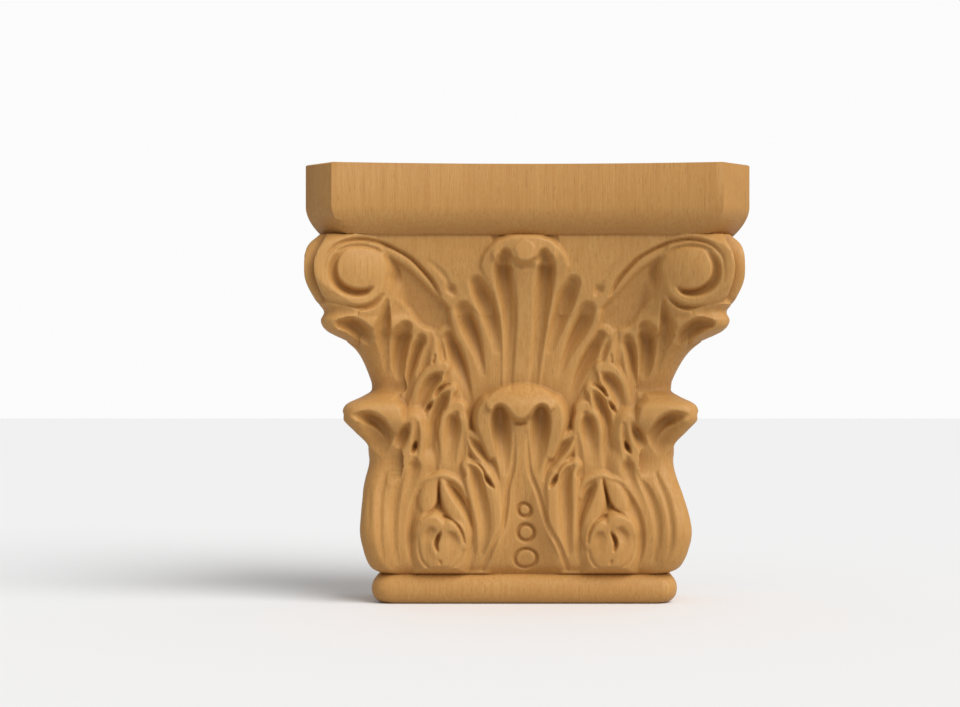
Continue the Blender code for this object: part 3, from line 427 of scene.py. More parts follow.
bell.gouge([
    [(33.0, 44.8, 0.7, 0.8), (34.2, 42.4, 1.7, 2.8), (35.5, 39.8, 2.0, 2.6), (36.6, 37.2, 1.7, 1.3),
     (37.8, 34.0, 1.5, 0.5), (39.0, 30, 1.2, 0.1)],
    [(30.4, 44.8, 0.8, 0.6), (30.7, 41.4, 1.1, 1.2), (31.2, 37.6, 1.2, 1.4), (30.8, 35.6, 0.8, 0.6)],
], sweep=1.1)
lower_lobe = [(31.3, 33.2, 2.5, 0.5), (32.1, 28.4, 2.5, 0.0), (33.6, 22, 2.2, -0.5)]
bell.strap(upon(LOWER_LEAVES, lower_lobe), wall=1.6, soft=0.7, ease=1.2)
bell.gouge([
    [(31.4, 34.4, 1.0, 0.8), (31.5, 32.6, 2.1, 1.8), (32.2, 29.6, 2.1, 1.2), (33.8, 25, 1.8, 0.5),
     (35.0, 20, 1.2, 0.1)],
    [(37.1, 35.7, 0.9, 0.2), (39.6, 30.8, 1.3, 0.7), (42.0, 24.4, 1.5, 0.8), (43.0, 17.5, 1.4, 0.8),
     (43.0, 10, 1.2, 0.6), (42.0, 4, 0.8, 0.2)],
    [(33.6, 31.0, 1.0, 0.2), (36.1, 27.0, 1.5, 0.8), (38.1, 22.0, 1.7, 0.9), (39.0, 16.5, 1.6, 0.8),
     (39.0, 10, 1.3, 0.6), (38.0, 4, 0.9, 0.2)],
    [(30.8, 25, 0.9, 0.3), (32.4, 21, 1.4, 0.9), (33.6, 16, 1.6, 1.1), (34.2, 10, 1.4, 1.1),
     (33.6, 5, 1.1, 0.8), (32.6, 2, 0.8, 0.3)],
    [(44.6, 31, 0.8, 0.2), (45.6, 22, 0.9, 0.4), (46.2, 13, 0.8, 0.2)],
])


# The lower middle leaf
# Its tip is folded over in front of the palmette. A stem with a shallow sunk panel runs down from
# the fold and spreads on the astragal, with two scooped lobes at each side.
outline = [(-2, 56.4), (3.0, 56.0), (6.2, 54.8), (8.6, 53.0), (10.4, 50.6), (11.6, 47.6), (11.4, 44),
           (9.2, 41), (8, 37), (7.0, 31), (6.6, 20), (7.6, 12), (10.3, 8), (13, 1), (13, -1),
           (-2, -1)]
STEM = [(0, -0.6), (5, 2.4), (14, 3.7), (28, 3.6), (38, 4.0), (46, 5.2), (52, 6.0), (57, 4.2)]
bell.plate(outline, profile(STEM, bell.up), wall=0.6)
for side_lobe, scoop in (
    ([(14.8, 41.2, 1.3, 0.3), (13.0, 39.6, 2.4, 0.6), (10.6, 36.8, 3.0, 0.6), (8.2, 33.0, 2.4, 0.5),
      (6.6, 29, 1.5, 0.2)],
     [(15.0, 40.4, 0.7, 0.7), (13.4, 38.8, 1.5, 2.0), (11.4, 36.8, 1.9, 2.4), (9.4, 34.2, 1.7, 2.0),
      (7.8, 31.2, 1.2, 1.1), (6.9, 28.4, 0.8, 0.4)]),
    ([(15.8, 32.6, 1.2, 0.8), (13.8, 30.6, 2.8, 1.2), (12.4, 26.6, 3.6, 1.1), (11.8, 20, 3.6, 0.7),
      (12.0, 10, 3.2, 0.3), (13.5, 1, 2.4, 0)],
     [(15.2, 32.2, 0.8, 0.8), (13.8, 30.4, 1.7, 2.0), (12.9, 27.0, 2.2, 2.2), (12.3, 21, 2.2, 1.8),
      (12.0, 14, 1.9, 1.2), (12.6, 7, 1.4, 0.5)]),
):
    bell.strap(upon(LOWER_LEAVES, side_lobe), wall=0.45, soft=0.25, ease=0.6)
    bell.gouge([scoop], sweep=1.1)
stem_rib = [(10.0, 30.2, 0.5, 1.3), (8.8, 27.0, 0.7, 1.3), (8.3, 22, 0.8, 1.0), (8.2, 14, 0.9, 0.7),
            (10.2, 8, 0.9, 0.5), (13.4, 0, 0.9, 0.2)]
bell.strap(upon(LOWER_LEAVES, stem_rib), wall=0.7)
bell.gouge([
    [(16.8, 24, 0.9, 0.3), (15.8, 17, 1.0, 0.6), (15.4, 9, 1.1, 0.6), (16.4, 2, 0.8, 0.2)],
    [(14.4, 46.6, 0.8, 1.4), (14.2, 44.2, 1.0, 1.8), (13.8, 42.8, 0.6, 0.8)],
])
PANEL_HALF = [(0, 11.5), (5, 9.0), (12, 6.6), (20, 4.8), (32, 3.0)]
PANEL_DEPTH = [(0, 0.9), (6, 1.5), (13, 1.6), (22, 1.1), (32, 0.2), (36, 0)]
across_panel = np.clip(bell.out / profile(PANEL_HALF, bell.up), 0, 1)
bell.height = bell.height - profile(PANEL_DEPTH, bell.up) * (1 - across_panel ** 2)
edge_rim = [(9.4, 50.6, 1.2, 7.4), (10.4, 48.4, 1.5, 6.9), (10.7, 45.6, 1.6, 6.4), (10.3, 42.6, 1.4, 5.8),
            (9.5, 39.4, 1.1, 5.0), (8.5, 36.0, 0.8, 4.2)]
bell.strap(edge_rim, wall=0.4, soft=0.5, ease=0.8)
fold = [(-2, 56.6), (3.0, 56.2), (6.2, 55.0), (8.4, 53.4), (9.8, 51.6), (9.8, 50.0), (8.7, 49.2),
        (7.8, 50.3), (6.4, 51.0), (4.8, 50.8), (3.4, 49.8), (2.2, 48.2), (1.0, 46.8), (-2, 46.4)]
FOLD_STAND = [(44, 9.4), (49, 9.8), (51.5, 9.2), (54, 7.4), (56.5, 4.8), (58, 3.4)]
FOLD_ROUND = 0.016
bell.plate(fold, profile(FOLD_STAND, bell.up) - FOLD_ROUND * bell.out ** 2, wall=0.35, soft=0.5)
bell.gouge([
    [(6.2, 48.8, 2.4, 2.8), (6.0, 46.2, 3.3, 3.2), (5.7, 42.4, 3.3, 2.7), (5.0, 37.6, 2.7, 1.5),
     (4.2, 31, 1.9, 0.4)],
    [(-1, 45.2, 1.3, 1.6), (1.2, 45.6, 1.1, 1.7), (2.6, 46.8, 0.7, 0.8)],
])


# The buds
# A small bud fills each gap between the lower leaves: two petals under a thin arch, over a round
# bulb with a curled lobe at each side of its slit.
for petal in (
    [(25.0, 28.2, 0.7, 0.6), (26.8, 26.2, 1.6, 0.6), (28.2, 22.8, 2.3, 0.5), (28.8, 20.0, 2.0, 0.4),
     (29.4, 18.4, 1.0, 0.2)],
    [(23.4, 27.6, 0.7, 1.0), (22.4, 24.2, 1.5, 1.1), (20.9, 20.2, 2.0, 1.1), (19.2, 16.4, 1.8, 1.0),
     (17.8, 12.8, 1.2, 0.7), (17.5, 9.4, 0.6, 0.3)],
    [(30.8, 27.0, 0.5, 0.2), (28.6, 28.3, 0.6, 0.5), (26.2, 28.8, 0.6, 0.8), (24.2, 29.5, 0.7, 1.0),
     (21.9, 29.3, 0.7, 1.0), (19.4, 28.2, 0.6, 0.8), (17.6, 26.2, 0.5, 0.5), (16.6, 23.2, 0.4, 0.2)],
):
    bell.strap(upon(LOWER_LEAVES, petal), wall=0.45, soft=0.25, crown=0.3)
bell.gouge([
    [(21.7, 26.6, 0.8, 1.0), (19.8, 23.8, 1.5, 1.8), (18.1, 20.4, 1.4, 1.4), (16.8, 16.8, 1.0, 0.8),
     (16.0, 13, 0.7, 0.2)],
    [(29.8, 26.2, 0.9, 0.2), (31.2, 22, 1.4, 0.5), (31.6, 17.6, 1.1, 0.3)],
    [(24.3, 27.6, 0.5, 0.6), (24.7, 24.4, 0.6, 1.0), (25.1, 21.6, 0.9, 1.6), (25.4, 19.6, 1.4, 2.3),
     (24.8, 18.0, 1.2, 1.6)],
])
bell.strap([(25.0, 9.4, 6.2, 5.2), (25.0, 7.4, 6.2, 5.1)], wall=0.9, crown=1.0, ease=1.2)
bell.strap([(24.9, 5.4, 5.0, 4.6), (24.9, 4.0, 4.6, 4.0)], wall=0.9, crown=0.6, ease=1.2)
for curl in (
    [(31.0, 10.0, 0.6, 4.3), (30.9, 13.2, 0.9, 5.1), (29.6, 15.4, 1.1, 5.6), (27.5, 16.2, 1.1, 5.8),
     (25.8, 15.2, 1.0, 5.8), (25.2, 13.4, 0.6, 5.4)],
    [(24.0, 12.4, 0.5, 5.2), (23.4, 13.9, 0.9, 5.6), (21.6, 14.6, 1.1, 5.8), (19.8, 13.7, 1.0, 5.6),
     (18.9, 11.4, 0.8, 5.1), (18.6, 8.6, 0.5, 4.4)],
):
    bell.strap(curl, wall=0.6, soft=0.6, ease=0.8)
bell.gouge([
    [(28.4, 13.8, 1.4, 0.3), (28.6, 12.0, 2.2, 0.5), (28.8, 9.0, 2.2, 0.2), (29, 6, 1.4, 0.1)],
    [(21.9, 12.5, 1.3, 0.3), (21.8, 10.8, 2.0, 0.5), (21.6, 8.0, 2.0, 0.2), (21.6, 6, 1.2, 0.1)],
    [(31.8, 12.0, 0.5, 0.3), (31.7, 8.0, 0.5, 0.6), (30.7, 4.6, 0.5, 0.7), (28.4, 2.2, 0.5, 0.7),
     (25.2, 1.4, 0.5, 0.7), (22.0, 2.0, 0.5, 0.7), (19.6, 4.2, 0.5, 0.6), (18.4, 7.6, 0.5, 0.4)],
])
slit_lip = [(27.6, 9.4, 0.4, 5.0), (27.3, 7.6, 0.5, 5.0), (26.4, 6.4, 0.5, 4.9), (25.6, 6.0, 0.4, 4.6)]
bell.strap(slit_lip, wall=0.8, soft=0.6)


# The last cuts
# The whole carving is eased with fine paper, and only then are the sharp small cuts made: the
# drilled eyes between the lobes, the lines on the stems and fingers, and three sunk rings.
SANDING = 0.18
bell.height = bell.softened(SANDING)
bell.gouge([
    [(24.9, 82.6, 0.5, 0.5), (26.7, 86.2, 0.8, 1.3), (28.8, 88.9, 0.85, 1.4), (31.6, 91.9, 0.8, 1.3),
     (33.6, 93.6, 0.75, 1.2), (36.2, 95.1, 0.7, 1.1), (38.7, 96.4, 0.7, 1.1), (41.2, 97.4, 0.7, 1.1),
     (44.2, 98.1, 0.75, 1.2), (47.5, 98.4, 0.75, 1.3), (51, 97.9, 0.75, 1.2), (53.6, 96.8, 0.7, 1.0),
     (55.6, 95.0, 0.6, 0.7), (57.0, 92.6, 0.5, 0.4), (57.4, 88.6, 0.5, 0.3), (57.0, 86, 0.4, 0.1)],
    [(2.9, 89, 0.6, 0.2), (2.9, 80, 0.8, 0.5), (2.9, 58, 0.8, 0.4), (2.9, 54, 0.6, 0.1)],
    [(25.2, 53.2, 0.6, 1.6), (24.1, 54.8, 0.9, 2.4), (22.8, 55.8, 0.8, 1.8), (21.2, 56.5, 0.5, 0.7)],
    [(27.8, 48.6, 0.7, 1.4), (27.1, 49.8, 0.95, 2.6), (26.4, 51.0, 0.7, 1.6)],
    [(31.0, 39.2, 0.6, 1.4), (31.5, 38.0, 0.9, 2.4), (32.2, 36.4, 0.6, 1.2)],
    [(10.6, 29.8, 0.6, 1.4), (9.9, 28.3, 0.95, 2.6), (9.0, 26.9, 0.8, 2.0), (8.3, 26.1, 0.5, 0.8)],
    [(26.0, 65.0, 0.6, 0.7), (26.3, 63.0, 0.6, 0.9)],
    [(1.9, 42, 0.5, 0.2), (2.1, 36, 0.8, 0.6), (2.6, 31, 0.9, 0.8), (4.4, 25.2, 1.0, 0.9),
     (5.5, 19.3, 1.0, 0.9), (7.2, 13.4, 1.0, 0.9), (9.6, 9, 1.1, 0.9), (12.6, 1.6, 1.0, 0.6)],
    [(25.2, 12.8, 0.5, 1.0), (26.1, 11.0, 0.85, 2.4), (26.5, 9.2, 0.8, 2.2), (26.1, 7.4, 0.5, 0.9)],
    [(25.3, 4.3, 0.6, 0.6), (25.1, 3.7, 0.6, 0.6)],
    [(30.4, 17.0, 0.5, 0.5), (29.0, 18.0, 0.6, 0.9), (27.3, 19.0, 0.6, 1.0), (26.0, 20.4, 0.5, 0.8)],
    [(24.0, 17.6, 0.6, 0.9), (22.0, 16.6, 0.6, 1.1), (20.0, 14.9, 0.6, 1.2), (18.7, 12.4, 0.6, 1.1),
     (18.2, 9.8, 0.5, 0.6)],
    [(24.3, 28.6, 0.4, 0.5), (24.6, 25.0, 0.5, 1.0), (25.1, 21.4, 0.6, 1.0)],
    [(15.4, 34.0, 0.4, 0.5), (13.2, 33.2, 0.5, 1.0), (11.6, 31.8, 0.5, 1.1), (10.8, 30.4, 0.5, 1.0)],
])
RINGS = ((19.3, 1.9, 1.0), (12.6, 2.4, 1.0), (4.9, 3.3, 0.85))
RING_DEPTH = 1.0
RING_HALF_WIDTH = 0.75
for ring_up, ring_radius, flattened in RINGS:
    away = np.hypot(bell.out, (bell.up - ring_up) / flattened)
    ring = np.clip(1 - ((away - ring_radius) / RING_HALF_WIDTH) ** 2, 0, 1) ** 1.5
    bell.height -= RING_DEPTH * ring

# The leaves are rounded under at the foot and the cuts lightly eased. Nothing stands out past the
# corner's line, and next to it the cuts are kept shallow.
FOOT = [(0, -0.8), (0.6, 1.0), (1.4, 2.6), (2.6, 4.2), (4.4, 5.6), (7, 7.0)]
SECOND_SANDING = 0.12
CORNER_DEEPEST_CUT = 0.0037
MOST_OVERHANG = 20.8
above_foot = np.minimum(bell.height, profile(FOOT, bell.up))
bell.height = np.where(bell.up < FOOT[-1][0], above_foot, bell.height)
bell.height = bell.softened(SECOND_SANDING)
deepest = bell.lean_in(1.0) - CORNER_DEEPEST_CUT / HUNDREDTH
bell.height = np.clip(bell.height, deepest, MOST_OVERHANG)
beside_corner = bell.out > bell.corner - CORNER_ROUND / HUNDREDTH
bell.height = np.where(beside_corner, np.minimum(bell.height, bell.overhang), bell.height)


def sunk(breadth, start, full, most=1):
    """How far the wood lies below what is round it, from 0 at the start depth up to most."""
    return np.clip((bell.softened(breadth) - bell.height - start) / full, 0, most)


# Shade is painted into the fine cuts and the sunk panel, and more thinly into wide hollows, where shade
# falls. The arrises that stand over what is round them get a painted highlight.
PANEL_SHADE = 0.45
PANEL_DEEPEST = max(depth for up, depth in PANEL_DEPTH)
ARRIS_BREADTH = 0.7
ARRIS_FULL = 0.35
# Painted shade: darker colour where the wood lies below what is round it.
fine_cut_shade = sunk(breadth=1.3, start=0.15, full=1.6)
wide_hollow_shade = sunk(breadth=4.0, start=0.3, full=3.2, most=0.6)
panel_depth = PANEL_SHADE * profile(PANEL_DEPTH, bell.up) / PANEL_DEEPEST
panel_shade = panel_depth * (across_panel < 1) * (1 - across_panel ** 4)
painted_cut_shade = np.clip(fine_cut_shade + wide_hollow_shade + panel_shade, 0, 1)
# Painted highlight: paler colour on the arrises that stand above what is round them.
painted_arris_highlight = np.clip((bell.height - bell.softened(ARRIS_BREADTH)) / ARRIS_FULL, 0, 1)


# The faces
# The flat drawing is carried round the block: across the front, round each corner, and back along
# the sides to the wall, where the carving dies into a plain margin. Behind the corner the sides
# stand back a little, and the whole bell drifts to one side by about two hundredths.
FRONT_STEP = 0.00030
SIDE_STEP = 0.00040
ROW_STEP = 0.00030
CORNER_CUTS = 14
WALL_MARGIN = 0.0040
MARGIN = [(0, -0.8), (6, 2.6), (20, 3.6), (40, 3.0), (55, 3.0), (75, 5.2), (90, 9.6), (100, 12.4)]
SIDE_SET_BACK = [(0, 0), (18, 0), (26, 1.8), (32, 3.2), (37, 3.4), (42, 1.8), (46, 0.6), (50, 0.8),
                 (54, 2.8), (58, 3.2), (63, 2.4), (68, 0.8), (72, 0), (100, 0)]
SET_BACK_REACH = 9.0
SIDE_DRIFT = [(0, -0.8), (8, -0.5), (15, -0.6), (21, -1.1), (28, -1.9), (35, -1.9), (48, -2.1),
              (60, -1.7), (75, -0.7), (90, -0.9), (100, -0.8)]
JUST_INSIDE = 1.001
across_front = np.linspace(0, 1, round(WIDTH / 2 / FRONT_STEP))
round_corner = np.linspace(0, 1, CORNER_CUTS + 2)[1:]
back_along_side = np.linspace(1, 0, round(DEPTH / SIDE_STEP))[1:]
turn = round_corner * np.pi / 2


def read(surface, out, up):
    """Value of a surface of the sheet at any place on it."""
    col = np.clip(out / SHEET_STEP, 0, surface.shape[1] - JUST_INSIDE)
    row = np.clip(up / SHEET_STEP, 0, surface.shape[0] - JUST_INSIDE)
    left, low = col.astype(int), row.astype(int)
    across, rise = col - left, row - low
    below = surface[low, left] * (1 - across) + surface[low, left + 1] * across
    above = surface[low + 1, left] * (1 - across) + surface[low + 1, left + 1] * across
    return below * (1 - rise) + above * rise


def bell_section(up):
    """Half outline of the carved bell at one height, with the painted shade and painted highlight along
    it.
    """
    overhang = float(profile(OVERHANG, up))
    edge_out = NECK_OUT + overhang - CORNER_ROUND / HUNDREDTH
    edge_x = NECK_WIDTH / 2 + HUNDREDTH * overhang - CORNER_ROUND
    edge_y = NECK_DEPTH + HUNDREDTH * overhang - CORNER_ROUND
    wall_out = (WIDTH / 2 - DEPTH) / HUNDREDTH
    corner_out = edge_out + CORNER_ROUND / HUNDREDTH * np.sin(np.minimum(turn, np.pi / 2 - turn))
    side_out = wall_out + back_along_side * (edge_out - wall_out)
    out = np.concatenate([across_front * edge_out, corner_out, side_out])
    height = read(bell.height, out, np.full(out.shape, up))
    fronts, corners = len(across_front), len(round_corner)
    front_height = height[:fronts]
    reach = CORNER_ROUND - HUNDREDTH * (overhang - height[fronts:fronts + corners])
    margin = np.clip(back_along_side * edge_y / WALL_MARGIN, 0, 1)
    margin = margin ** 2 * (3 - 2 * margin)
    behind = np.clip((edge_out - side_out) / SET_BACK_REACH, 0, 1)
    carved = height[fronts + corners:] - profile(SIDE_SET_BACK, up) * behind ** 2 * (3 - 2 * behind)
    side_height = profile(MARGIN, up) * (1 - margin) + carved * margin
    x = np.concatenate([across_front * edge_x, edge_x + reach * np.sin(turn),
                        NECK_WIDTH / 2 + HUNDREDTH * side_height])
    y = np.concatenate([NECK_DEPTH + HUNDREDTH * front_height, edge_y + reach * np.cos(turn),
                        back_along_side * edge_y])
    masks = [read(surface, out, np.full(out.shape, up)) for surface in (painted_cut_shade, painted_arris_highlight)]
    return x, y, HUNDREDTH * float(profile(SIDE_DRIFT, up)), *masks


# The astragal
# The half-round ring at the foot, worked with a plane before the leaves are carved over it. It
# stands square on the shaft below.
ASTRAGAL_NOSE = 0.0032
ASTRAGAL_SET_IN = 0.0013
ASTRAGAL_DRIFT = -0.0009
ASTRAGAL_CUTS = 26


def band_section(stand):
    """Half outline of the plain band, this far out from the neck."""
    edge_x = NECK_WIDTH / 2 + stand - CORNER_ROUND
    edge_y = NECK_DEPTH + stand - CORNER_ROUND
    x = np.concatenate([across_front * edge_x, edge_x + CORNER_ROUND * np.sin(turn),
                        np.full(back_along_side.shape, edge_x + CORNER_ROUND)])
    y = np.concatenate([np.full(across_front.shape, edge_y + CORNER_ROUND),
                        edge_y + CORNER_ROUND * np.cos(turn), back_along_side * edge_y])
    return x, y, ASTRAGAL_DRIFT, np.zeros(x.shape), np.zeros(x.shape)


# The abacus
# The slab on top, its front scooped to a shallow hollow and its corners clipped. The lower half
# is rounded under to an ovolo, and the arrises are eased with paper.
ABACUS_CLIP = 0.0078
OVOLO_HEIGHT = 0.0076
OVOLO_REACH = 0.0038
OVOLO_CUTS = 22
EASED_EDGE = 0.00035
ABACUS_SHADE = 0.22
OVOLO_SHADE = 0.45


def abacus_section(set_in):
    """Half outline of the abacus: hollow front, clipped corner, square side."""
    half_width = WIDTH / 2 - set_in
    depth = DEPTH - set_in
    edge_x = half_width - ABACUS_CLIP
    edge_y = depth - ABACUS_CLIP
    front = depth - ABACUS_HOLLOW * (1 - across_front ** 2)
    x = np.concatenate([across_front * edge_x, edge_x + ABACUS_CLIP * round_corner,
                        np.full(back_along_side.shape, half_width)])
    y = np.concatenate([front, depth - ABACUS_CLIP * round_corner, back_along_side * edge_y])
    # The abacus is tinted a little darker all over, and painted shade darkens it further down the
    # underside of the ovolo.
    shade = np.full(x.shape, ABACUS_SHADE + OVOLO_SHADE * set_in / OVOLO_REACH)
    return x, y, 0.0, shade, np.zeros(x.shape)


# The carved block as one mesh
# The faces are closed with the flat back, the top and the foot. Facets that carry no detail are
# joined up, which leaves the fine ones for the carving.
MOST_FACETS = 190000
THINNING_DRIFT = 0.0001
SHARP_ARRIS = math.radians(48)
stack = []
for lift in np.linspace(-1, 1, ASTRAGAL_CUTS)[:-1]:
    z = ASTRAGAL_HEIGHT * (1 + math.sin(lift * math.pi / 2)) / 2
    stack.append((z, band_section(ASTRAGAL_NOSE * math.cos(lift * math.pi / 2) - ASTRAGAL_SET_IN)))
for up in np.linspace(0, 100, round(CARVED_HEIGHT / ROW_STEP)):
    stack.append((ASTRAGAL_HEIGHT + CARVED_HEIGHT * up / 100, bell_section(up)))
for drop in np.linspace(1, 0, OVOLO_CUTS):
    z = HEIGHT - ABACUS_HEIGHT + OVOLO_HEIGHT * (1 - drop)
    stack.append((z, abacus_section(OVOLO_REACH * drop ** 2)))
stack.append((HEIGHT - EASED_EDGE, abacus_section(0)))
stack.append((HEIGHT, abacus_section(EASED_EDGE)))

places = []
masks = []
for z, (x, y, drift, painted_shade, painted_highlight) in stack:
    ring_x = np.concatenate([-x[:0:-1], x]) + drift
    ring_y = WALL - np.concatenate([y[:0:-1], y])
    places.append(np.stack([ring_x, ring_y, np.full(ring_x.shape, z)], axis=1))
    masks.append([np.concatenate([mask[:0:-1], mask]) for mask in (painted_shade, painted_highlight)])
rows, columns = len(stack), len(places[0])
corner_of = np.arange(rows * columns).reshape(rows, columns)
facets = np.stack([corner_of[:-1, :-1], corner_of[:-1, 1:], corner_of[1:, 1:], corner_of[1:, :-1]],
                  axis=-1).reshape(-1, 4).tolist()
facets.append(corner_of[0, ::-1].tolist())
facets.append(corner_of[-1].tolist())
facets.append(corner_of[:, 0].tolist() + corner_of[::-1, -1].tolist())
carving = bpy.data.meshes.new("carved capital")
carving.from_pydata(np.concatenate(places).tolist(), [], facets)
# The painted shade and painted highlight are stored on the points for the wood's colour.
for number, name in enumerate(("painted_shade", "painted_highlight")):
    values = carving.attributes.new(name, "FLOAT", "POINT")
    values.data.foreach_set("value", np.concatenate([mask[number] for mask in masks]))

rough = bpy.data.objects.new("rough capital", carving)
bpy.context.scene.collection.objects.link(rough)
thin = rough.modifiers.new("Fewer facets", "DECIMATE")
thin.ratio = MOST_FACETS / (2 * len(facets))
settled = rough.evaluated_get(bpy.context.evaluated_depsgraph_get())
capital_mesh = bpy.data.meshes.new_from_object(settled)
capital_mesh.name = "capital"
bpy.data.objects.remove(rough)
spots = np.empty(3 * len(capital_mesh.vertices))
capital_mesh.vertices.foreach_get("co", spots)
spots = np.clip(spots.reshape(-1, 3), block_low, block_high)
for axis, face_at in ((1, block_high.y), (2, block_low.z), (2, block_high.z)):
    spots[np.abs(spots[:, axis] - face_at) < THINNING_DRIFT, axis] = face_at
capital_mesh.vertices.foreach_set("co", spots.ravel())
capital_mesh.update()
capital_mesh.shade_smooth()
capital_mesh.set_sharp_from_angle(angle=SHARP_ARRIS)
capital = bpy.data.objects.new("carved_capital", capital_mesh)
bpy.context.scene.collection.objects.link(capital)
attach(capital, "root")
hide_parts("capital")


# The wood
# A pale, even hardwood, sanded and sealed with a thin satin coat. Upright grain shows as fine streaks and
# short pores. Shade is painted a little darker into the cuts, and a painted highlight lightens the raised
# arrises.
HONEY = (0.556, 0.300, 0.094, 1)
AMBER = (0.494, 0.242, 0.068, 1)
PORE_BROWN = (0.250, 0.110, 0.035, 1)
# The brown of the painted shade in the cuts; the pale colour serves both the grain's pale flakes and the
# painted highlight on the arrises.
PAINTED_SHADE_BROWN = (0.300, 0.128, 0.030, 1)
PALE_FLAKE_AND_HIGHLIGHT = (0.600, 0.340, 0.118, 1)
PORE_START = 0.62
PORE_SHARPNESS = 6.0
FLAKE_TO_STREAK = 0.75
FIGURE_AMOUNT = 0.55
FLAKE_AMOUNT = 0.30
PORE_AMOUNT = 0.45
SMOOTHEST = 0.38
STREAK_ROUGHNESS = 0.22


def add_node(tree, kind, **settings):
    """A node of this kind, with its own settings, and its inputs' values by name."""
    node = tree.nodes.new(kind)
    for name, value in settings.items():
        if name in node.inputs:
            node.inputs[name].default_value = value
        else:
            setattr(node, name, value)
    return node


def group(name, inputs, outputs):
    """An empty node group with these inputs (name, start value) and outputs (name, kind)."""
    tree = bpy.data.node_groups.new(name, "ShaderNodeTree")
    for label, value in inputs:
        socket = tree.interface.new_socket(label, in_out="INPUT", socket_type="NodeSocketFloat")
        socket.default_value = value
    for label, kind in outputs:
        tree.interface.new_socket(label, in_out="OUTPUT", socket_type=kind)
    start = tree.nodes.new("NodeGroupInput")
    end = tree.nodes.new("NodeGroupOutput")
    return tree, start, end


def math_node(tree, operation, first, second):
    """The result of a sum with two sockets or numbers."""
    node = add_node(tree, "ShaderNodeMath", operation=operation)
    for socket, value in zip(node.inputs, (first, second)):
        if isinstance(value, (int, float)):
            socket.default_value = value
        else:
            tree.links.new(value, socket)
    return node.outputs[0]


def upright_grain():
    """Group: streaks, pores and broad figure of wood whose grain runs upright."""
    tree, start, end = group(
        "Upright grain",
        [("Streak Size", 1500.0), ("Pore Size", 3200.0), ("Figure Size", 60.0), ("Along", 0.03)],
        [("Streaks", "NodeSocketFloat"), ("Pores", "NodeSocketFloat"), ("Figure", "NodeSocketFloat"),
         ("Flake", "NodeSocketFloat")],
    )
    where = tree.nodes.new("ShaderNodeTexCoord").outputs["Object"]
    warp = add_node(tree, "ShaderNodeTexNoise", Scale=22.0, Detail=2.0)
    tree.links.new(where, warp.inputs["Vector"])
    sway = add_node(tree, "ShaderNodeVectorMath", operation="SCALE", Scale=0.0012)
    tree.links.new(warp.outputs["Color"], sway.inputs[0])
    moved = add_node(tree, "ShaderNodeVectorMath", operation="ADD")
    tree.links.new(where, moved.inputs[0])
    tree.links.new(sway.outputs[0], moved.inputs[1])
    split = add_node(tree, "ShaderNodeSeparateXYZ")
    tree.links.new(moved.outputs[0], split.inputs[0])

    def stretched(along):
        """Places with the upright direction shortened, so that spots become streaks."""
        lower = math_node(tree, "MULTIPLY", split.outputs["Z"], along)
        put = tree.nodes.new("ShaderNodeCombineXYZ")
        tree.links.new(split.outputs["X"], put.inputs["X"])
        tree.links.new(split.outputs["Y"], put.inputs["Y"])
        tree.links.new(lower, put.inputs["Z"])
        return put.outputs[0]

    def noise(vector, scale, detail, roughness=0.5):
        """Cloudy noise from 0 to 1 at these places."""
        made = add_node(tree, "ShaderNodeTexNoise", Detail=detail, Roughness=roughness)
        tree.links.new(vector, made.inputs["Vector"])
        tree.links.new(scale, made.inputs["Scale"])
        return made.outputs["Fac"]

    lengthwise = stretched(start.outputs["Along"])
    streaks = noise(lengthwise, start.outputs["Streak Size"], 3.0, 0.6)
    tree.links.new(streaks, end.inputs["Streaks"])
    pores = noise(stretched(along=0.10), start.outputs["Pore Size"], 1.0)
    over_start = math_node(tree, "SUBTRACT", pores, PORE_START)
    tree.links.new(math_node(tree, "MULTIPLY", over_start, PORE_SHARPNESS), end.inputs["Pores"])
    figure = noise(stretched(along=0.30), start.outputs["Figure Size"], 3.0)
    tree.links.new(figure, end.inputs["Figure"])
    flake_size = math_node(tree, "MULTIPLY", start.outputs["Streak Size"], FLAKE_TO_STREAK)
    tree.links.new(noise(stretched(along=0.6), flake_size, 2.0), end.inputs["Flake"])
    return tree


def painted_shade_and_highlight():
    """Group: painted shade in the cuts, and a painted highlight on the raised arrises."""
    tree, start, end = group(
        "Painted shade and highlight",
        [("Shade In The Cuts", 1.0), ("Highlight On The Arrises", 1.0)],
        [("Painted Shade", "NodeSocketFloat"), ("Painted Highlight", "NodeSocketFloat")],
    )
    painted_shade = add_node(tree, "ShaderNodeAttribute", attribute_name="painted_shade").outputs["Fac"]
    painted_highlight = add_node(tree, "ShaderNodeAttribute", attribute_name="painted_highlight").outputs["Fac"]
    tree.links.new(math_node(tree, "MULTIPLY", painted_shade, start.outputs["Shade In The Cuts"]),
                   end.inputs["Painted Shade"])
    tree.links.new(math_node(tree, "MULTIPLY", painted_highlight, start.outputs["Highlight On The Arrises"]),
                   end.inputs["Painted Highlight"])
    return tree


wood = bpy.data.materials.new("Sealed pale hardwood")
wood.use_nodes = True
tree = wood.node_tree
surface = tree.nodes["Principled BSDF"]
surface.inputs["Specular IOR Level"].default_value = 0.25
grain = add_node(tree, "ShaderNodeGroup", node_tree=upright_grain())
# The painted shade in the cuts and the painted highlight on the arrises, with their strengths.
painted_light_node = add_node(tree, "ShaderNodeGroup", node_tree=painted_shade_and_highlight())
painted_light_node.inputs["Shade In The Cuts"].default_value = 0.60
painted_light_node.inputs["Highlight On The Arrises"].default_value = 0.35


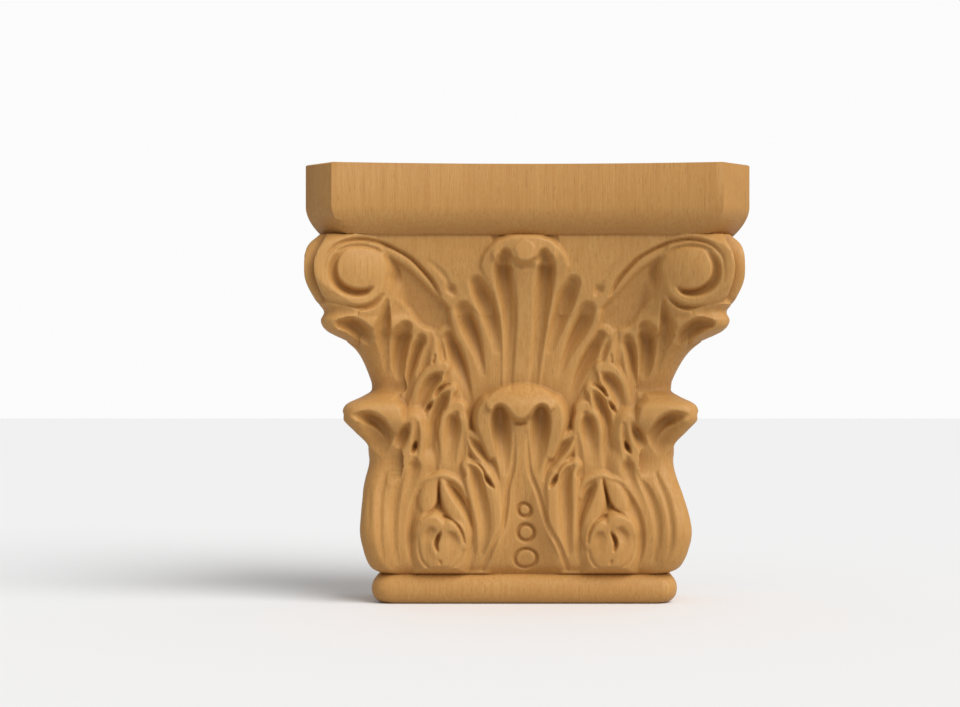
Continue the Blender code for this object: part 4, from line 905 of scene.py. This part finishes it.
def mixed(amount, first, second):
    """A colour between two, by an amount that changes over the surface."""
    # The colour sockets share their names with other kinds of socket, so they go by number.
    mix = add_node(tree, "ShaderNodeMix", data_type="RGBA")
    tree.links.new(amount, mix.inputs["Factor"])
    for socket, value in ((mix.inputs[6], first), (mix.inputs[7], second)):
        if isinstance(value, tuple):
            socket.default_value = value
        else:
            tree.links.new(value, socket)
    return mix.outputs[2]


def ramped(value, low, high):
    """0 to 1 as the value goes from low to high."""
    steps = add_node(tree, "ShaderNodeMapRange")
    tree.links.new(value, steps.inputs["Value"])
    steps.inputs["From Min"].default_value = low
    steps.inputs["From Max"].default_value = high
    return steps.outputs["Result"]


streaked = mixed(ramped(grain.outputs["Streaks"], low=0.36, high=0.66), HONEY, AMBER)
figure = ramped(grain.outputs["Figure"], low=0.36, high=0.66)
figure_amount = math_node(tree, "MULTIPLY", figure, FIGURE_AMOUNT)
figured = mixed(figure_amount, streaked, AMBER)
flake = ramped(grain.outputs["Flake"], low=0.56, high=0.72)
flake_amount = math_node(tree, "MULTIPLY", flake, FLAKE_AMOUNT)
flaked = mixed(flake_amount, figured, PALE_FLAKE_AND_HIGHLIGHT)
pores = ramped(grain.outputs["Pores"], low=0.0, high=1.0)
pore_amount = math_node(tree, "MULTIPLY", pores, PORE_AMOUNT)
pored = mixed(pore_amount, flaked, PORE_BROWN)
# Painted shade darkens the cuts and hollows, and a painted highlight lightens the raised arrises.
with_painted_shade = mixed(painted_light_node.outputs["Painted Shade"], pored, PAINTED_SHADE_BROWN)
with_painted_highlight = mixed(painted_light_node.outputs["Painted Highlight"], with_painted_shade, PALE_FLAKE_AND_HIGHLIGHT)
tree.links.new(with_painted_highlight, surface.inputs["Base Color"])
rough_grain = math_node(tree, "MULTIPLY", grain.outputs["Streaks"], STREAK_ROUGHNESS)
tree.links.new(math_node(tree, "ADD", rough_grain, SMOOTHEST), surface.inputs["Roughness"])
bump = add_node(tree, "ShaderNodeBump", Strength=0.12, Distance=0.0001)
tree.links.new(math_node(tree, "SUBTRACT", grain.outputs["Streaks"], grain.outputs["Pores"]),
               bump.inputs["Height"])
tree.links.new(bump.outputs["Normal"], surface.inputs["Normal"])
capital_mesh.materials.clear()
capital_mesh.materials.append(wood)


# The room
# A plain pale floor for the capital to stand on, one large soft light above and to the right,
# and pale air all round that fills the shadows.
FLOOR_SIZE = 6.0
FLOOR_LIT = 0.66
FLOOR_SEEN = 0.92
AIR_LIGHT = 0.44
AIR_SEEN = 0.97
KEY_STRENGTH = 2.65
KEY_SPREAD = math.radians(45)
KEY_TURN = (math.radians(50), 0, math.radians(45))
floor_mesh = bpy.data.meshes.new("floor")
half_floor = FLOOR_SIZE / 2
floor_mesh.from_pydata([(-half_floor, -half_floor, 0), (half_floor, -half_floor, 0),
                        (half_floor, half_floor, 0), (-half_floor, half_floor, 0)], [],
                       [(0, 1, 2, 3)])
floor = bpy.data.objects.new("floor", floor_mesh)
bpy.context.scene.collection.objects.link(floor)
pale = bpy.data.materials.new("Pale floor")
pale.use_nodes = True
ground = pale.node_tree
looked_at = ground.nodes.new("ShaderNodeLightPath")
paleness = add_node(ground, "ShaderNodeMapRange", **{"To Min": FLOOR_LIT, "To Max": FLOOR_SEEN})
ground.links.new(looked_at.outputs["Is Camera Ray"], paleness.inputs["Value"])
ground.links.new(paleness.outputs["Result"], ground.nodes["Principled BSDF"].inputs["Base Color"])
ground.nodes["Principled BSDF"].inputs["Roughness"].default_value = 0.9
floor_mesh.materials.append(pale)

air = bpy.data.worlds.new("Pale air")
bpy.context.scene.world = air
air.use_nodes = True
sky = air.node_tree
seen = sky.nodes.new("ShaderNodeLightPath")
strength = add_node(sky, "ShaderNodeMapRange", **{"To Min": AIR_LIGHT, "To Max": AIR_SEEN})
sky.links.new(seen.outputs["Is Camera Ray"], strength.inputs["Value"])
sky.links.new(strength.outputs["Result"], sky.nodes["Background"].inputs["Strength"])
sky.nodes["Background"].inputs["Color"].default_value = (1.0, 1.0, 1.0, 1)

key = bpy.data.lights.new("soft key", "SUN")
key.energy = KEY_STRENGTH
key.angle = KEY_SPREAD
key_holder = bpy.data.objects.new("soft key", key)
key_holder.rotation_euler = KEY_TURN
bpy.context.scene.collection.objects.link(key_holder)


# The camera
# It stands level with the middle of the capital, a little over half a metre from the wall, and
# its frame is moved so that the capital sits right of and below the middle.
PHOTO_WIDTH = 960
PHOTO_HEIGHT = 707
CAPITAL_MIDDLE = (527.6, 387.0)
FOCAL_LENGTH = 1837.0
FROM_WALL = 0.536
camera_data = bpy.data.cameras.new("camera")
camera_data.sensor_width = 36.0
camera_data.lens = FOCAL_LENGTH / PHOTO_WIDTH * camera_data.sensor_width
camera_data.shift_x = (PHOTO_WIDTH / 2 - CAPITAL_MIDDLE[0]) / PHOTO_WIDTH
camera_data.shift_y = (CAPITAL_MIDDLE[1] - PHOTO_HEIGHT / 2) / PHOTO_WIDTH
camera = bpy.data.objects.new("camera", camera_data)
camera.location = (0.0, WALL - FROM_WALL, HEIGHT / 2)
camera.rotation_euler = (math.pi / 2, 0, 0)
bpy.context.scene.collection.objects.link(camera)
bpy.context.scene.camera = camera
bpy.context.scene.view_settings.view_transform = "Standard"
